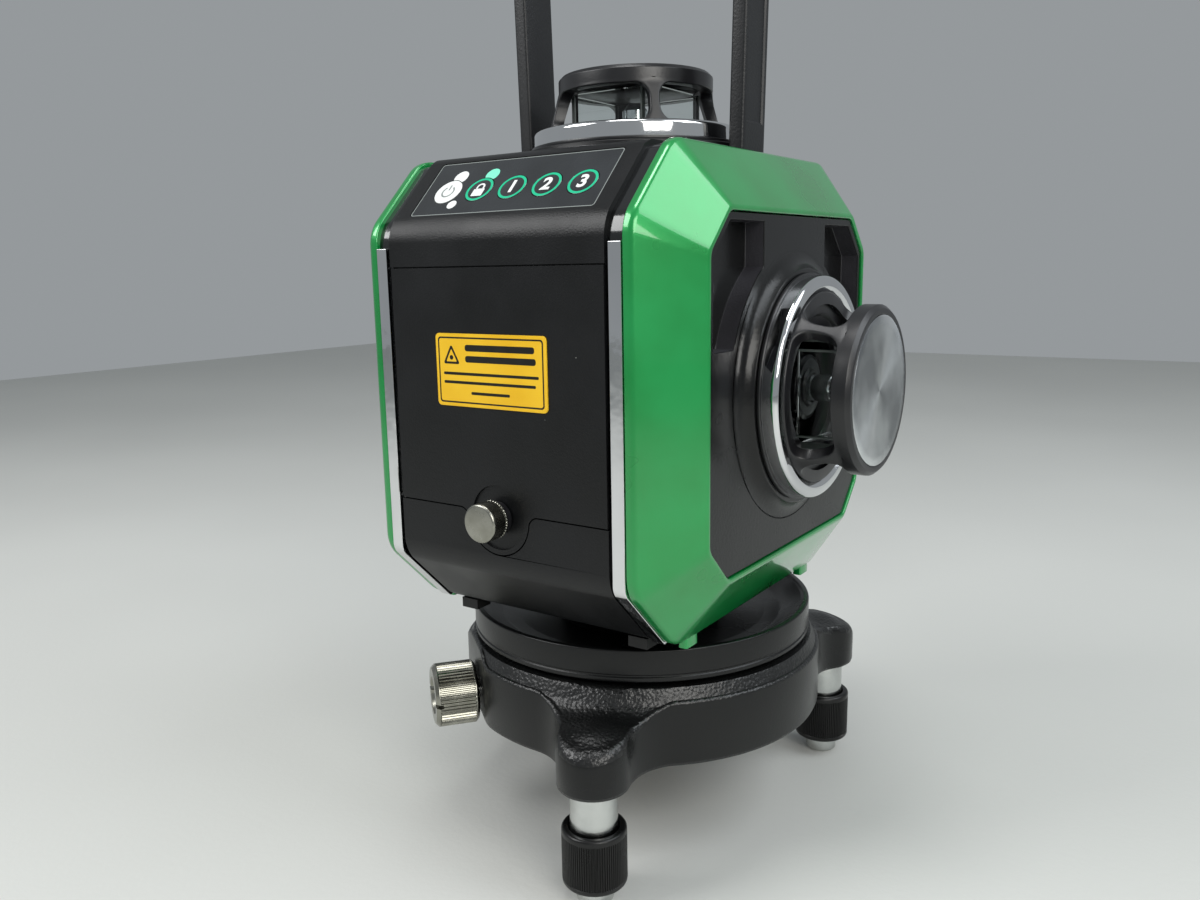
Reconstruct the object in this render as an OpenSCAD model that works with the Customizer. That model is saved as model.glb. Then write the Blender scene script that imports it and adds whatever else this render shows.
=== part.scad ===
// Self-levelling three-plane line laser on a rotating, three-footed levelling base.
// Millimetres, +Z up. The origin is the mouth of the tripod thread, on the turntable axis.
// -Y is the battery and key side, +X and +Y carry the two vertical line heads.

/* [Base casting] */
// Radius of the round part of the base
base_r = 57.5; // [56:0.5:80]
// Underside of the rim above the tripod face
base_z0 = 3.5; // [2:0.5:6]
// Top of the base above the tripod face
base_top = 26; // [24:0.5:34]
// Height of the outer rim wall where the top chamfer starts
rim_z = 21.5; // [18:0.5:23]
// Thickness of the rim wall around the drive trough
rim_wall = 9.5; // [6:0.5:10]
// Radius of the central hub
hub_r = 20; // [18:0.5:24]
// Distance of each leg from the turntable axis
leg_circle_r = 67.7; // [62:0.5:86]
// Radius of each leg boss
boss_r = 10; // [9:0.5:13]
// Radius of the blend between rim and leg boss
arm_fillet = 16; // [10:1:24]
// Bearing of the first leg, from +X towards +Y
leg_bearing = 291; // [0:1:359]

/* [Tripod thread] */
// Tapping radius of the 5/8 inch thread
thread_r = 6.75; // [4:0.05:8]
// Length of the thread
thread_len = 9; // [7:0.5:9]
// Outer radius of the threaded bush
bush_r = 13; // [11:0.5:15]

/* [Levelling feet] */
// Radius of the knurled foot knob
knob_r = 9; // [8.5:0.25:12]
// Height of the foot knob
knob_h = 16.5; // [15:0.5:24]
// Bare sleeve between boss and knob at mid travel
sleeve_show = 11.5; // [8:0.5:16]
// Outer radius of the fixed sleeve
sleeve_r = 6.6; // [5.5:0.1:7]
// Radius of the foot spindle
spindle_r = 3.95; // [3:0.05:4.5]
// Travel of each foot to either side
foot_travel = 4; // [2:0.5:4]
// Radius of the foot pad
pad_r = 5.2; // [4:0.1:8]
// Height of the foot pad
pad_h = 5.1; // [3:0.1:8]
// Radius of the pad stem
stem_r = 2; // [1.5:0.1:2.5]

/* [Fine drive] */
// Bearing of the fine knob, from +X towards +Y
fine_bearing = 231; // [0:1:359]
// Height of the drive shaft above the tripod face
fine_z = 9; // [8:0.5:11]
// Radius of the fine knob
fine_knob_r = 9.8; // [7:0.1:12]
// Length of the fine knob
fine_knob_len = 13.5; // [10:0.5:18]
// Radius of the drive shaft
fine_shaft_r = 2.5; // [2:0.1:3]
// Radius of the friction roller
roller_r = 4; // [3.5:0.1:4.2]
// Distance of the roller from the turntable axis
roller_at = 40; // [36:0.5:41]
// Width of the friction roller
roller_w = 5; // [3:0.5:6]

/* [Turntable] */
// Radius of the turntable disc
table_r = 54.1; // [50:0.1:76]
// Height of the turntable's outer band
table_band = 9.5; // [6:0.5:14]
// Gap between base and turntable
table_gap = 1.2; // [0.6:0.1:2]
// Radius of the pedestal under the housing
pedestal_r = 26; // [20:0.5:32]
// Height of the housing above the turntable rim
body_lift = 5.5; // [4:0.5:12]
// Radius of the hollow spindle
spindle_tube_r = 9; // [7.5:0.1:9.5]
// Radius of the plumb beam bore
beam_r = 5; // [3:0.1:6]

/* [Housing] */
// Distance of the key side from the turntable axis
body_front = 70; // [66:0.5:84]
// Distance of the far side from the turntable axis
body_back = 60; // [56:0.5:72]
// Height of the housing
body_h = 129; // [120:1:156]
// Size of the four long chamfers
body_chamfer = 19.5; // [16:0.5:22]
// Half width of the raised black face
face_hw = 35.2; // [34:0.1:43]
// Width of the trim groove beside the face
groove_w = 4.8; // [4.2:0.1:8]
// Depth of the trim groove
groove_d = 1.3; // [1:0.1:2]
// Wall of the housing
wall = 2.4; // [2:0.1:3]

/* [Side frames] */
// Width of the flat outer rim of a side frame
frame_rim = 2.7; // [2:0.1:5]
// Depth of the long bevel of a side frame
frame_bevel = 11.9; // [8:0.1:16]
// Panel opening, distance from the key side
open_front = 16.3; // [14:0.1:20]
// Panel opening, distance from the far side
open_back = 13.5; // [12:0.1:18]
// Panel opening, distance from the top
open_top = 17.6; // [15:0.1:22]
// Panel opening, distance from the bottom
open_bottom = 18.7; // [15:0.1:24]
// Corner chamfer of the panel opening
open_chamfer = 10; // [6:0.5:14]
// Width of the lip round the opening
lip = 1.2; // [0.8:0.1:2]
// Step from the lip down to the panel
lip_step = 0.7; // [0.4:0.1:2]
// Depth of the two corner pockets in a panel
pocket_d = 5.5; // [3:0.5:7]
// Radius of the pocket wall round the head
pocket_r = 39; // [37:0.5:44]
// Width of the trim strips
trim_w = 3.6; // [3:0.1:4]
// Upper end of the trim strips below the housing top
trim_drop = 24.6; // [21:0.1:34]

/* [Battery cover] */
// Upper seam below the housing top
cover_drop = 29.6; // [27:0.1:34]
// Height of the cover without its lobe
cover_h = 64; // [50:0.5:80]
// Thickness of the cover
cover_t = 1.9; // [1.5:0.1:2.2]
// Radius of the lobe round the cover screw
lobe_r = 10.3; // [9:0.1:13]
// Cover screw below the lower seam
screw_drop = 1.5; // [0.5:0.1:3]
// Radius of the cover screw's knurled head
screw_head_r = 5.2; // [4:0.1:7]
// Length of the cover screw's knurled head
screw_head_len = 6; // [4:0.1:8]
// Thread radius of the cover screw
screw_r = 1.5; // [1.25:0.05:2]
// Distance that the captive screw backs out
screw_travel = 3.5; // [2:0.1:3.5]
// Width of the label plate
label_w = 37; // [20:0.5:50]
// Height of the label plate
label_h = 19.2; // [10:0.1:26]

/* [Keys] */
// Spacing of the five keys
key_pitch = 11.1; // [9.6:0.1:11.6]
// Radius of each key
key_r = 4.3; // [3.5:0.1:4.6]
// Key travel
key_travel = 0.6; // [0.3:0.1:0.8]
// Width of the key overlay
overlay_w = 60.4; // [57:0.1:66]
// Height of the key overlay along the slope
overlay_h = 20.4; // [15:0.1:21]
// Thickness of the key overlay
overlay_t = 0.8; // [0.5:0.1:1.2]

/* [Line heads] */
// Outer radius of the bright bezel
bezel_r = 30.7; // [28:0.1:32]
// Bezel front above the surface that the head stands on
bezel_top = 9; // [7:0.1:11]
// Radius of the cage where it leaves the bezel
cage_r = 26.3; // [24:0.1:27]
// Radius of the cap
cap_r = 23; // [21:0.1:26]
// Height of the window opening
window_h = 11.2; // [8:0.1:14]
// Thickness of the cap
cap_t = 4.5; // [3:0.1:7]
// Outer radius of the glass window
glass_r = 19; // [18:0.1:19]
// Thickness of the glass window
glass_t = 1; // [0.8:0.1:1.5]
// Half angle of each cage rib
rib_half = 3.5; // [3:0.5:9]

/* [Handle] */
// Distance of each handle arm's middle from the axis plane
handle_x = 36.7; // [35:0.1:45]
// Thickness of the handle strap
handle_t = 4.6; // [3:0.1:5]
// Width of the handle strap
handle_w = 14; // [10:0.5:20]
// Top of the handle above the housing
handle_rise = 121; // [90:1:150]
// Outer radius of the handle's top corners
handle_corner = 15; // [8:0.5:24]
// Thickness of the grip bar
grip_t = 8; // [5:0.5:12]

/* [Pendulum] */
// Distance of the gimbal pivot below the housing top
gimbal_drop = 21; // [19:0.5:26]
// Swing of the pendulum to either side, degrees
swing = 4; // [1:0.5:4]
// Width of the pendulum block
block_w = 22; // [20:0.5:24]
// Radius of the side and front laser barrels
barrel_r = 10; // [8:0.5:11]
// Radius of the top laser barrel
top_barrel_r = 9; // [7:0.5:9.5]
// Radius of the gimbal pins
pin_r = 1.5; // [1:0.1:2]

/* [Clearances] */
// Radial clearance of running shafts
run_gap = 0.05; // [0.02:0.01:0.1]
// Seam between covers, frames and shells
seam = 0.25; // [0.1:0.05:0.4]
// Room round a key
key_gap = 0.3; // [0.2:0.05:0.5]
// Gap between friction roller and drive skirt
roller_gap = 0.2; // [0.1:0.05:0.4]
// Play of the cover screw in its insert
insert_play = 0.6; // [0.5:0.05:0.9]

/* [Hidden] */
$fn = 64;

// base and legs
trough_r = base_r - rim_wall;
trough_z = fine_z - roller_r - 0.5;
floor_z = 0.5;
hub_top = base_top - 1.3;
nut_z = thread_len + 1;
nut_t = 3.5;
nut_r = bush_r - 1;
bearing_z = nut_z + nut_t + 0.5;
bearing_r = spindle_tube_r + 2;
nose_r = leg_circle_r + boss_r;
nose_z = rim_z - 2.7;
sleeve_top = base_z0 + 9.5;
foot_knob_top = base_z0 - sleeve_show;
foot_knob_z0 = foot_knob_top - knob_h;
sleeve_z0 = foot_knob_top - foot_travel - 3;
recess_z = sleeve_z0 - foot_travel - 1;
recess_r = sleeve_r + 0.4;
spindle_top = sleeve_top - foot_travel;
pad_gap = 0.4;
ground_z = foot_knob_z0 - pad_gap - pad_h;
stem_len = 6;

// fine drive
flat_r = base_r - 2.2;
fine_bush_r = 5;
fine_seat = 0.5;
shaft_in = roller_at - roller_w / 2 - 3.5;
skirt_hw = 2;

// turntable
table_z = base_top + table_gap;
table_top = table_z + table_band;
body_z0 = table_top + body_lift;
body_top = body_z0 + body_h;
dish_z = table_z + 4;
skirt_z = fine_z + roller_r + roller_gap;

// housing
shell_hw = face_hw + groove_w;
rim_x = shell_hw + frame_rim;
crest_x = rim_x + frame_bevel;
panel_x = crest_x - lip_step;
inner_d = groove_d + wall;
open_y0 = -body_front + open_front;
open_y1 = body_back - open_back;
open_z0 = body_z0 + open_bottom;
open_z1 = body_top - open_top;
side_y = (open_y0 + open_y1) / 2;
head_z = body_z0 + body_h / 2;
split_y = 0;
big = 400;

// cover, keys and handle
cover_top = body_top - cover_drop;
cover_low = cover_top - cover_h;
screw_z = cover_low - screw_drop;
rebate_y = -body_front + cover_t + 0.3;
ledge_y = rebate_y + 2.4;
bay_hw = face_hw - 5.2;
bay_y = ledge_y + 19.4;
bay_z0 = cover_low + 6.4;
hinge_depth = 0.85;
roll_r = cover_t - hinge_depth;
hinge_z = cover_top - 1.5 * seam - roll_r;
opening_z1 = cover_top - 2.2;
bay_z1 = cover_top + 2.4;
pack_z0 = bay_z0 + 0.5;
pack_z1 = opening_z1 - 5.5;
shoulder = 3;
retainer_t = 0.6;
retainer_y = -body_front + cover_t + screw_travel + 0.2;
insert_y = retainer_y + retainer_t + 0.5;
insert_len = 7;
slope_len = body_chamfer * sqrt(2);
key_s = slope_len * 0.495;
key_shift = 0.5;
arm_z0 = body_top - 21;
arm_splay = 0.022;
arm_top = body_top + handle_rise;
arm_screw_z = [body_top - 14, body_top - 8];

// heads and pendulum
flange_z = 3.5;
flange_t = 0.9;
cap_z = bezel_top + window_h;
disc_r = cap_r - 2.7;
barrel_end = 6;
pivot_z = body_top - gimbal_drop;
ring_in = top_barrel_r + 7;
ring_out = ring_in + 5;
post_x = ring_out + 5;
post_t = 4;
swing_room = 1 + 2 * (pivot_z - head_z) * sin(swing);
post_hw = barrel_r + swing_room + abs(side_y) + 1.4;
block_z0 = body_z0 + 20;
plate_z = body_z0 + inner_d + 0.1;
plate_t = 3;
plate_y0 = -body_front + body_chamfer + 12.5;
plate_y1 = body_back - body_chamfer - inner_d + 1.2;
magnet_z = plate_z + plate_t;

// octagon in the Y-Z plane, moved inwards by d
function octagon(y0, y1, z0, z1, c, d) =
    let (q = c - d * (2 - sqrt(2)))
    [[y0 + d + q, z0 + d], [y1 - d - q, z0 + d], [y1 - d, z0 + d + q], [y1 - d, z1 - d - q],
     [y1 - d - q, z1 - d], [y0 + d + q, z1 - d], [y0 + d, z1 - d - q], [y0 + d, z0 + d + q]];
function body_plan(d) = octagon(-body_front, body_back, body_z0, body_top, body_chamfer, d);
function open_plan(d) = octagon(open_y0, open_y1, open_z0, open_z1, open_chamfer, d);
function arc(cx, cz, r, a0, a1, n) = [for (i = [0:n]) let (a = a0 + (a1 - a0) * i / n)
    [cx + r * cos(a), cz + r * sin(a)]];
function leg_at(k) = leg_bearing + 120 * k;

// outline in Y-Z, extruded along X
module along_x(x0, x1) translate([x0, 0, 0]) rotate([90, 0, 90]) linear_extrude(x1 - x0) children();
// outline in X-Z, extruded along Y
module along_y(y0, y1) translate([0, y1, 0]) rotate([90, 0, 0]) linear_extrude(y1 - y0) children();
// places children on the key slope: X across, Y up the slope, Z out of it
module on_slope() translate([0, -body_front, body_top - body_chamfer]) rotate([45, 0, 0]) children();
module key_spot(i) on_slope() translate([(i - 2) * key_pitch + key_shift, key_s, 0]) children();
module at_leg(k) rotate([0, 0, leg_at(k)]) translate([leg_circle_r, 0, 0]) children();
module at_fine() rotate([0, 0, fine_bearing]) translate([0, 0, fine_z]) rotate([0, 90, 0]) children();
module at_head(i) {
    if (i == 0) translate([0, 0, body_top]) children();
    if (i == 1) translate([panel_x, side_y, head_z]) rotate([0, 90, 0]) children();
    if (i == 2) translate([0, body_back, head_z]) rotate([-90, 0, 0]) children();
}
module tube(r_out, r_in, z0, z1) translate([0, 0, z0]) difference() {
    cylinder(r = r_out, h = z1 - z0);
    translate([0, 0, -1]) cylinder(r = r_in, h = z1 - z0 + 2);
}
module rod(r, z0, z1) translate([0, 0, z0]) cylinder(r = r, h = z1 - z0);
module round_rect(w, h, r) {
    square([w - 2 * r, h], center = true);
    square([w, h - 2 * r], center = true);
    for (x = [-1, 1], y = [-1, 1]) translate([x * (w / 2 - r), y * (h / 2 - r)]) circle(r);
}

// ---- base ----
fillet_at = base_r + arm_fillet;
fillet_boss = boss_r + arm_fillet;
fillet_angle = acos((pow(leg_circle_r, 2) + pow(fillet_at, 2) - pow(fillet_boss, 2))
    / (2 * leg_circle_r * fillet_at));
fillet_p = [fillet_at * cos(fillet_angle), fillet_at * sin(fillet_angle)];
rim_touch = fillet_p * base_r / fillet_at;
boss_touch = [leg_circle_r, 0] + (fillet_p - [leg_circle_r, 0]) * boss_r / fillet_boss;

module arm_plan() difference() {
    union() {
        translate([leg_circle_r, 0]) circle(boss_r);
        polygon([[rim_touch.x * 0.8, 0], rim_touch * 0.9, rim_touch, boss_touch, [leg_circle_r, 0],
            [boss_touch.x, -boss_touch.y], [rim_touch.x, -rim_touch.y],
            [rim_touch.x * 0.9, -rim_touch.y * 0.9]]);
    }
    for (s = [-1, 1]) translate([fillet_p.x, s * fillet_p.y]) circle(arm_fillet);
}
module base_plan() {
    circle(base_r);
    for (k = [0:2]) rotate(leg_at(k)) arm_plan();
}
module base_casting() color("#1b1c1c") difference() {
    union() {
        intersection() {
            rotate_extrude() polygon([[bush_r, 0], [hub_r, 0], [hub_r, floor_z], [trough_r + 2, floor_z],
                [trough_r + 2, base_z0], [nose_r + 1, base_z0], [nose_r + 1, nose_z - 4],
                [nose_r - 0.8, nose_z - 2.2], [nose_r - 3, nose_z], [base_r, rim_z],
                [table_r + 0.9, base_top], [trough_r, base_top], [trough_r, trough_z], [hub_r, trough_z],
                [hub_r, hub_top], [bearing_r, hub_top], [bearing_r, bearing_z], [bush_r, bearing_z]]);
            translate([0, 0, -1]) linear_extrude(base_top + 2) base_plan();
        }
        rotate([0, 0, fine_bearing]) translate([shaft_in - 4, -4, trough_z - 1])
            cube([4, 8, fine_z + fine_shaft_r + 2 - trough_z]);
    }
    for (k = [0:2]) at_leg(k) {
        rod(sleeve_r, base_z0 - 1, sleeve_top);
        rod(spindle_r + 0.3, sleeve_top - 1, sleeve_top + 1.5);
    }
    at_fine() {
        rod(fine_bush_r, trough_r - 3, base_r + 1);
        rod(fine_shaft_r + run_gap, shaft_in - 5, shaft_in + 1);
    }
    rotate([0, 0, fine_bearing]) translate([flat_r, -16, -1]) cube([9, 32, big / 10]);
}
module tripod_bush() color("#b08a3c") tube(bush_r, thread_r, 0, thread_len);
module spindle_bush() color("#a8833a") tube(bearing_r, spindle_tube_r + run_gap, bearing_z, hub_top);
module thrust_washer() color("#e8e8e2") tube(hub_r - 0.5, bearing_r + 0.5, hub_top, table_z - 0.05);
module leg_sleeves() color("#c9cdd0") for (k = [0:2]) at_leg(k)
    tube(sleeve_r, spindle_r + run_gap, sleeve_z0, sleeve_top);
module knob_bush() color("#a8833a") at_fine() tube(fine_bush_r, fine_shaft_r + run_gap, trough_r, flat_r);

// ---- feet ----
module foot_knob(k) color("#141414") at_leg(k) rotate_extrude() polygon([[spindle_r, foot_knob_z0],
    [knob_r - 0.8, foot_knob_z0], [knob_r, foot_knob_z0 + 0.8], [knob_r, foot_knob_top - 1],
    [knob_r - 1, foot_knob_top], [recess_r + 0.4, foot_knob_top], [recess_r, foot_knob_top - 0.4],
    [recess_r, recess_z], [spindle_r, recess_z]]);
module foot_spindle(k) color("#b9bdc0") at_leg(k) difference() {
    rod(spindle_r, foot_knob_z0, spindle_top);
    rod(stem_r + run_gap, foot_knob_z0 - 1, foot_knob_z0 + stem_len + 0.6);
}
module foot_pad(k) color("#c3c6c8") at_leg(k) union() {
    rotate_extrude() polygon([[0, ground_z], [pad_r - 1, ground_z], [pad_r, ground_z + 1],
        [pad_r, ground_z + pad_h - 1.4], [pad_r - 1.4, ground_z + pad_h], [0, ground_z + pad_h]]);
    rod(stem_r, ground_z + pad_h - 0.5, foot_knob_z0 + stem_len);
}

// ---- fine drive ----
module fine_knob() color("#c2c5c6") at_fine() difference() {
    translate([0, 0, flat_r + fine_seat]) rotate_extrude() polygon([[fine_shaft_r, 0], [fine_knob_r - 1, 0],
        [fine_knob_r, 1], [fine_knob_r, fine_knob_len - 1.2], [fine_knob_r - 1.2, fine_knob_len],
        [6, fine_knob_len], [5.2, fine_knob_len - 1.2], [fine_shaft_r, fine_knob_len - 1.2]]);
    translate([-0.6, -20, flat_r + fine_seat + fine_knob_len - 2.2]) cube([1.2, 40, 5]);
}
module fine_shaft() color("#b9bdc0") at_fine()
    rod(fine_shaft_r, shaft_in - 4, flat_r + fine_seat + fine_knob_len - 2.4);
module drive_roller() color("#202020") at_fine()
    tube(roller_r, fine_shaft_r, roller_at - roller_w / 2, roller_at + roller_w / 2);

// ---- turntable ----
module turntable_disc() color("#161616") rotate_extrude() polygon([[spindle_tube_r, table_z],
    [roller_at - skirt_hw, table_z], [roller_at - skirt_hw, skirt_z], [roller_at + skirt_hw, skirt_z],
    [roller_at + skirt_hw, table_z], [table_r - 0.7, table_z], [table_r, table_z + 0.7],
    [table_r, table_top - 0.5], [table_r - 0.5, table_top], [table_r - 1.5, table_top],
    [table_r - 2.3, table_top - 0.8], [table_r - 9, dish_z + 0.6], [table_r - 14, dish_z],
    [pedestal_r + 2, dish_z], [pedestal_r, dish_z + 2], [pedestal_r, body_z0], [spindle_tube_r, body_z0]]);
module turntable_spindle() color("#b9bdc0") tube(spindle_tube_r, beam_r, nut_z, body_z0);
module spindle_nut() color("#8f9497") tube(nut_r, spindle_tube_r, nut_z, nut_z + nut_t);

// ---- housing ----
// raised ring that each head stands on
module flare(spread) rotate_extrude() polygon([[cage_r + 0.1, -1], [bezel_r + 1.9 + spread, -1],
    [bezel_r + 1.9 + spread, 0], [bezel_r + 1.9 + spread * 0.5, 0.45], [bezel_r + 1.9 + spread * 0.18, 1.5],
    [bezel_r + 1.9, flange_z - 0.3], [bezel_r + 1.7, flange_z - 0.1], [cage_r + 0.1, flange_z - 0.1]]);
module arm_slots() for (s = [-1, 1]) translate([s * handle_x, 0, body_top - 3])
    cube([handle_t + 0.6, handle_w + 0.6, 20], center = true);
module housing_tube() difference() {
    union() {
        along_x(-face_hw, face_hw) polygon(body_plan(0));
        along_x(-shell_hw, shell_hw) polygon(body_plan(groove_d));
    }
    along_x(-shell_hw - 1, shell_hw + 1) polygon(body_plan(inner_d));
}
module cover_plan(grow) {
    f = shoulder - grow;
    zf = cover_low - grow - f;
    r = lobe_r + grow;
    xf = sqrt(pow(r + f, 2) - pow(screw_z - zf, 2));
    translate([-face_hw - 0.1 + seam - grow, cover_low - grow])
        square([2 * (face_hw + 0.1 - seam + grow), cover_h + 2 * grow - seam]);
    translate([0, screw_z]) circle(r);
    difference() {
        translate([-xf, zf]) square([2 * xf, f + 1]);
        for (s = [-1, 1]) translate([s * xf, zf]) circle(f);
    }
}
module rear_shell() color("#191a1b") difference() {
    union() {
        intersection() {
            housing_tube();
            translate([-big / 2, -big, 0]) cube([big, big + split_y - seam / 2, big]);
        }
        along_y(rebate_y - 0.2, ledge_y) translate([-shell_hw + 2, screw_z - 12])
            square([2 * shell_hw - 4, bay_z1 + 6 - screw_z + 12]);
        along_y(ledge_y - 1, bay_y + 1.6) translate([-bay_hw - 1.6, bay_z0 - 1.6])
            square([2 * bay_hw + 3.2, bay_z1 - bay_z0 + 3.2]);
        translate([0, 0, screw_z]) rotate([90, 0, 0]) rod(6, -insert_y - insert_len, -rebate_y - 1);
        difference() {
            at_head(0) flare(1.6);
            translate([-big / 2, split_y - seam / 2, 0]) cube([big, big, big]);
        }
    }
    along_y(-body_front - 5, rebate_y) cover_plan(seam);
    along_y(rebate_y - 1, ledge_y + 1) translate([-bay_hw, bay_z0])
        square([2 * bay_hw, opening_z1 - bay_z0]);
    along_y(ledge_y, bay_y) translate([-bay_hw, bay_z0]) square([2 * bay_hw, bay_z1 - bay_z0]);
    translate([0, 0, screw_z]) rotate([90, 0, 0]) {
        rod(4.4, -insert_y, -rebate_y + 5);
        rod(3.2, -insert_y - insert_len - 1, -insert_y + 1);
    }
    on_slope() {
        translate([0, key_s + 1.2, -1]) linear_extrude(5) round_rect(overlay_w + 0.2, overlay_h + 0.2, 1);
    }
    for (i = [0:4]) key_spot(i) rod(key_r + key_gap, -6, 3);
    at_head(0) rod(cage_r + 0.1, -9, 9);
    arm_slots();
    translate([0, 0, body_z0 - 1]) cylinder(r = beam_r + 1, h = 8);
    screw_places(-1) {
        rod(3, -1, 2.6);
        rod(1.6, -1, 9);
    }
}
module front_shell() color("#191a1b") difference() {
    union() {
        intersection() {
            housing_tube();
            translate([-big / 2, split_y + seam / 2, 0]) cube([big, big, big]);
        }
        difference() {
            at_head(0) flare(1.6);
            translate([-big / 2, split_y + seam / 2 - big, 0]) cube([big, big, big]);
        }
        at_head(2) flare(1.6);
    }
    at_head(0) rod(cage_r + 0.1, -9, 9);
    at_head(2) rod(cage_r + 0.1, -9, 9);
    arm_slots();
    translate([0, 0, body_z0 - 1]) cylinder(r = beam_r + 1, h = 8);
    screw_places(1) {
        rod(3, -1, 2.6);
        rod(1.6, -1, 9);
    }
}
// side = -1 rear pair, 1 front pair, 0 both
module screw_places(side) for (x = [-1, 1], y = [-1, 1]) if (side == 0 || side == y)
    translate([x * (face_hw - 6.2), y < 0 ? plate_y0 + 4 : plate_y1 - 2, body_z0]) children();
module housing_feet() color("#111111")
    for (x = [-1, 1], y = [-body_front + body_chamfer + 4, body_back - body_chamfer - 4])
        translate([x * (face_hw - 5) - 3, y - 3, body_z0 - 3]) cube([6, 6, 3]);
module housing_screws() color("#2c2d2e") {
    screw_places(0) {
        rod(2.8, 0.4, 2.6);
        rod(1.5, 2.5, inner_d + plate_t);
    }
    for (s = [-1, 1], z = arm_screw_z) translate([0, 0, z]) rotate([0, s * 90, 0]) {
        rod(2.8, handle_x - handle_t / 2 - 2, handle_x - handle_t / 2);
        rod(1.5, handle_x - handle_t / 2 - 0.1, shell_hw + 4);
    }
}
module frame(s) mirror([s < 0 ? 1 : 0, 0, 0]) difference() {
    union() {
        difference() {
            hull() {
                along_x(shell_hw, rim_x) polygon(body_plan(0));
                along_x(crest_x - 0.4, crest_x) polygon(open_plan(-lip));
            }
            difference() {
                hull() {
                    along_x(shell_hw - 1, rim_x - 0.6) polygon(body_plan(2.6));
                    along_x(crest_x - 4, crest_x - 3) polygon(open_plan(-lip - 0.4));
                }
                along_x(shell_hw - 2, crest_x) polygon(open_plan(-2.2));
            }
        }
        translate([shell_hw, -handle_w / 2 - 3, body_top - 17]) cube([4.5, handle_w + 6, 11.5]);
        for (y = [-body_front + body_chamfer + 8, body_back - body_chamfer - 8])
            translate([shell_hw, y - 3, body_z0 - 2]) cube([3.4, 6, 3]);
    }
    along_x(shell_hw - 2, crest_x + 2) polygon(open_plan(0));
    for (z = arm_screw_z) translate([0, 0, z]) rotate([0, 90, 0]) rod(1.5, 0, shell_hw + 4);
}
module left_frame() color("#0c9a4c") frame(-1);
module right_frame() color("#0c9a4c") frame(1);
// the two corner pockets, from the panel face inwards
module pocket_plan() for (s = [-1, 1]) translate([side_y, 0]) scale([s, 1]) translate([-side_y, 0])
    intersection() {
        polygon(octagon(2 * side_y - open_y1 , open_y1, open_z0, open_z1, open_chamfer, 2.2));
        difference() {
            translate([-big, head_z + 13]) square([big + side_y - 20.4, big]);
            translate([side_y, head_z]) circle(pocket_r);
        }
    }
module panel(s, head) mirror([s < 0 ? 1 : 0, 0, 0]) difference() {
    union() {
        along_x(panel_x - 2.5, panel_x) polygon(open_plan(seam));
        along_x(panel_x - pocket_d - 2, panel_x - 1) polygon(open_plan(seam));
        if (head) at_head(1) flare(4.6);
    }
    along_x(panel_x - pocket_d, panel_x + 2) pocket_plan();
    along_x(panel_x - pocket_d - 3, panel_x - 2.5) intersection() {
        polygon(open_plan(seam + 2));
        translate([-big / 2, -big + head_z + 10]) square([big, big]);
    }
    along_x(panel_x - pocket_d - 3, panel_x - 2.5) intersection() {
        polygon(open_plan(seam + 2));
        translate([side_y - 18, 0]) square([36, big]);
    }
    if (head) at_head(1) rod(cage_r + 0.1, -20, 9);
}
module left_panel() color("#141516") panel(-1, false);
module right_panel() color("#141516") panel(1, true);
module trim(s) color("#d9dcde") mirror([s < 0 ? 1 : 0, 0, 0]) along_x(shell_hw - 0.1 - trim_w, shell_hw - 0.1)
    polygon([[-body_front - 0.3, body_top - trim_drop], body_plan(-0.3)[7], body_plan(-0.3)[0],
        body_plan(groove_d)[0], body_plan(groove_d)[7], [-body_front + groove_d, body_top - trim_drop]]);
module left_trim() trim(-1);
module right_trim() trim(1);

// ---- battery cover ----
module battery_cover() color("#1b1c1d") difference() {
    union() {
        along_y(-body_front, -body_front + cover_t) cover_plan(-seam / 2);
        for (x = [-20, 20]) translate([x - 4, 0, 0]) {
            translate([0, -body_front + cover_t - 0.2, cover_top - 5.6]) cube([8, 6.9, 3]);
            translate([0, ledge_y + 0.4, cover_top - 5.6]) cube([8, 1.8, 6.5]);
        }
    }
    translate([0, 0, screw_z]) rotate([90, 0, 0]) {
        rod(screw_r + 0.3, body_front - cover_t - 1, body_front + 1);
        rod(lobe_r - 1.5, body_front - 0.7, body_front + 1);
    }
    translate([0, -body_front + hinge_depth, hinge_z]) difference() {
        translate([-face_hw - 1, 0, 0]) cube([2 * face_hw + 2, 3, 3]);
        rotate([0, 90, 0]) rod(roll_r, -face_hw - 2, face_hw + 2);
    }
}
module label_plate() color("#f2c511") translate([-0.7, 0, cover_low + 37.1])
    along_y(-body_front - 0.4, -body_front) round_rect(label_w, label_h, 1);
module cover_screw() color("#c8cbcc") translate([0, 0, screw_z]) rotate([90, 0, 0]) {
    translate([0, 0, body_front + 1.8]) rotate_extrude() polygon([[0, 0], [screw_head_r - 0.5, 0],
        [screw_head_r, 0.5], [screw_head_r, screw_head_len - 0.7], [screw_head_r - 0.7, screw_head_len],
        [0, screw_head_len]]);
    rod(4.2, body_front - 0.4, body_front + 1.9);
    rod(screw_r, -insert_y - 4, body_front);
}
module screw_retainer() color("#8f9497") translate([0, 0, screw_z]) rotate([90, 0, 0])
    tube(3, screw_r + run_gap, -retainer_y - retainer_t, -retainer_y);
module screw_insert() color("#b08a3c") translate([0, 0, screw_z]) rotate([90, 0, 0])
    tube(3.2, screw_r + insert_play, -insert_y - insert_len, -insert_y);
module battery_pack() color("#3a4048") along_y(ledge_y + 3, bay_y - 0.4)
    translate([0, (pack_z0 + pack_z1) / 2]) round_rect(2 * bay_hw - 1, pack_z1 - pack_z0, 3);

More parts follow.
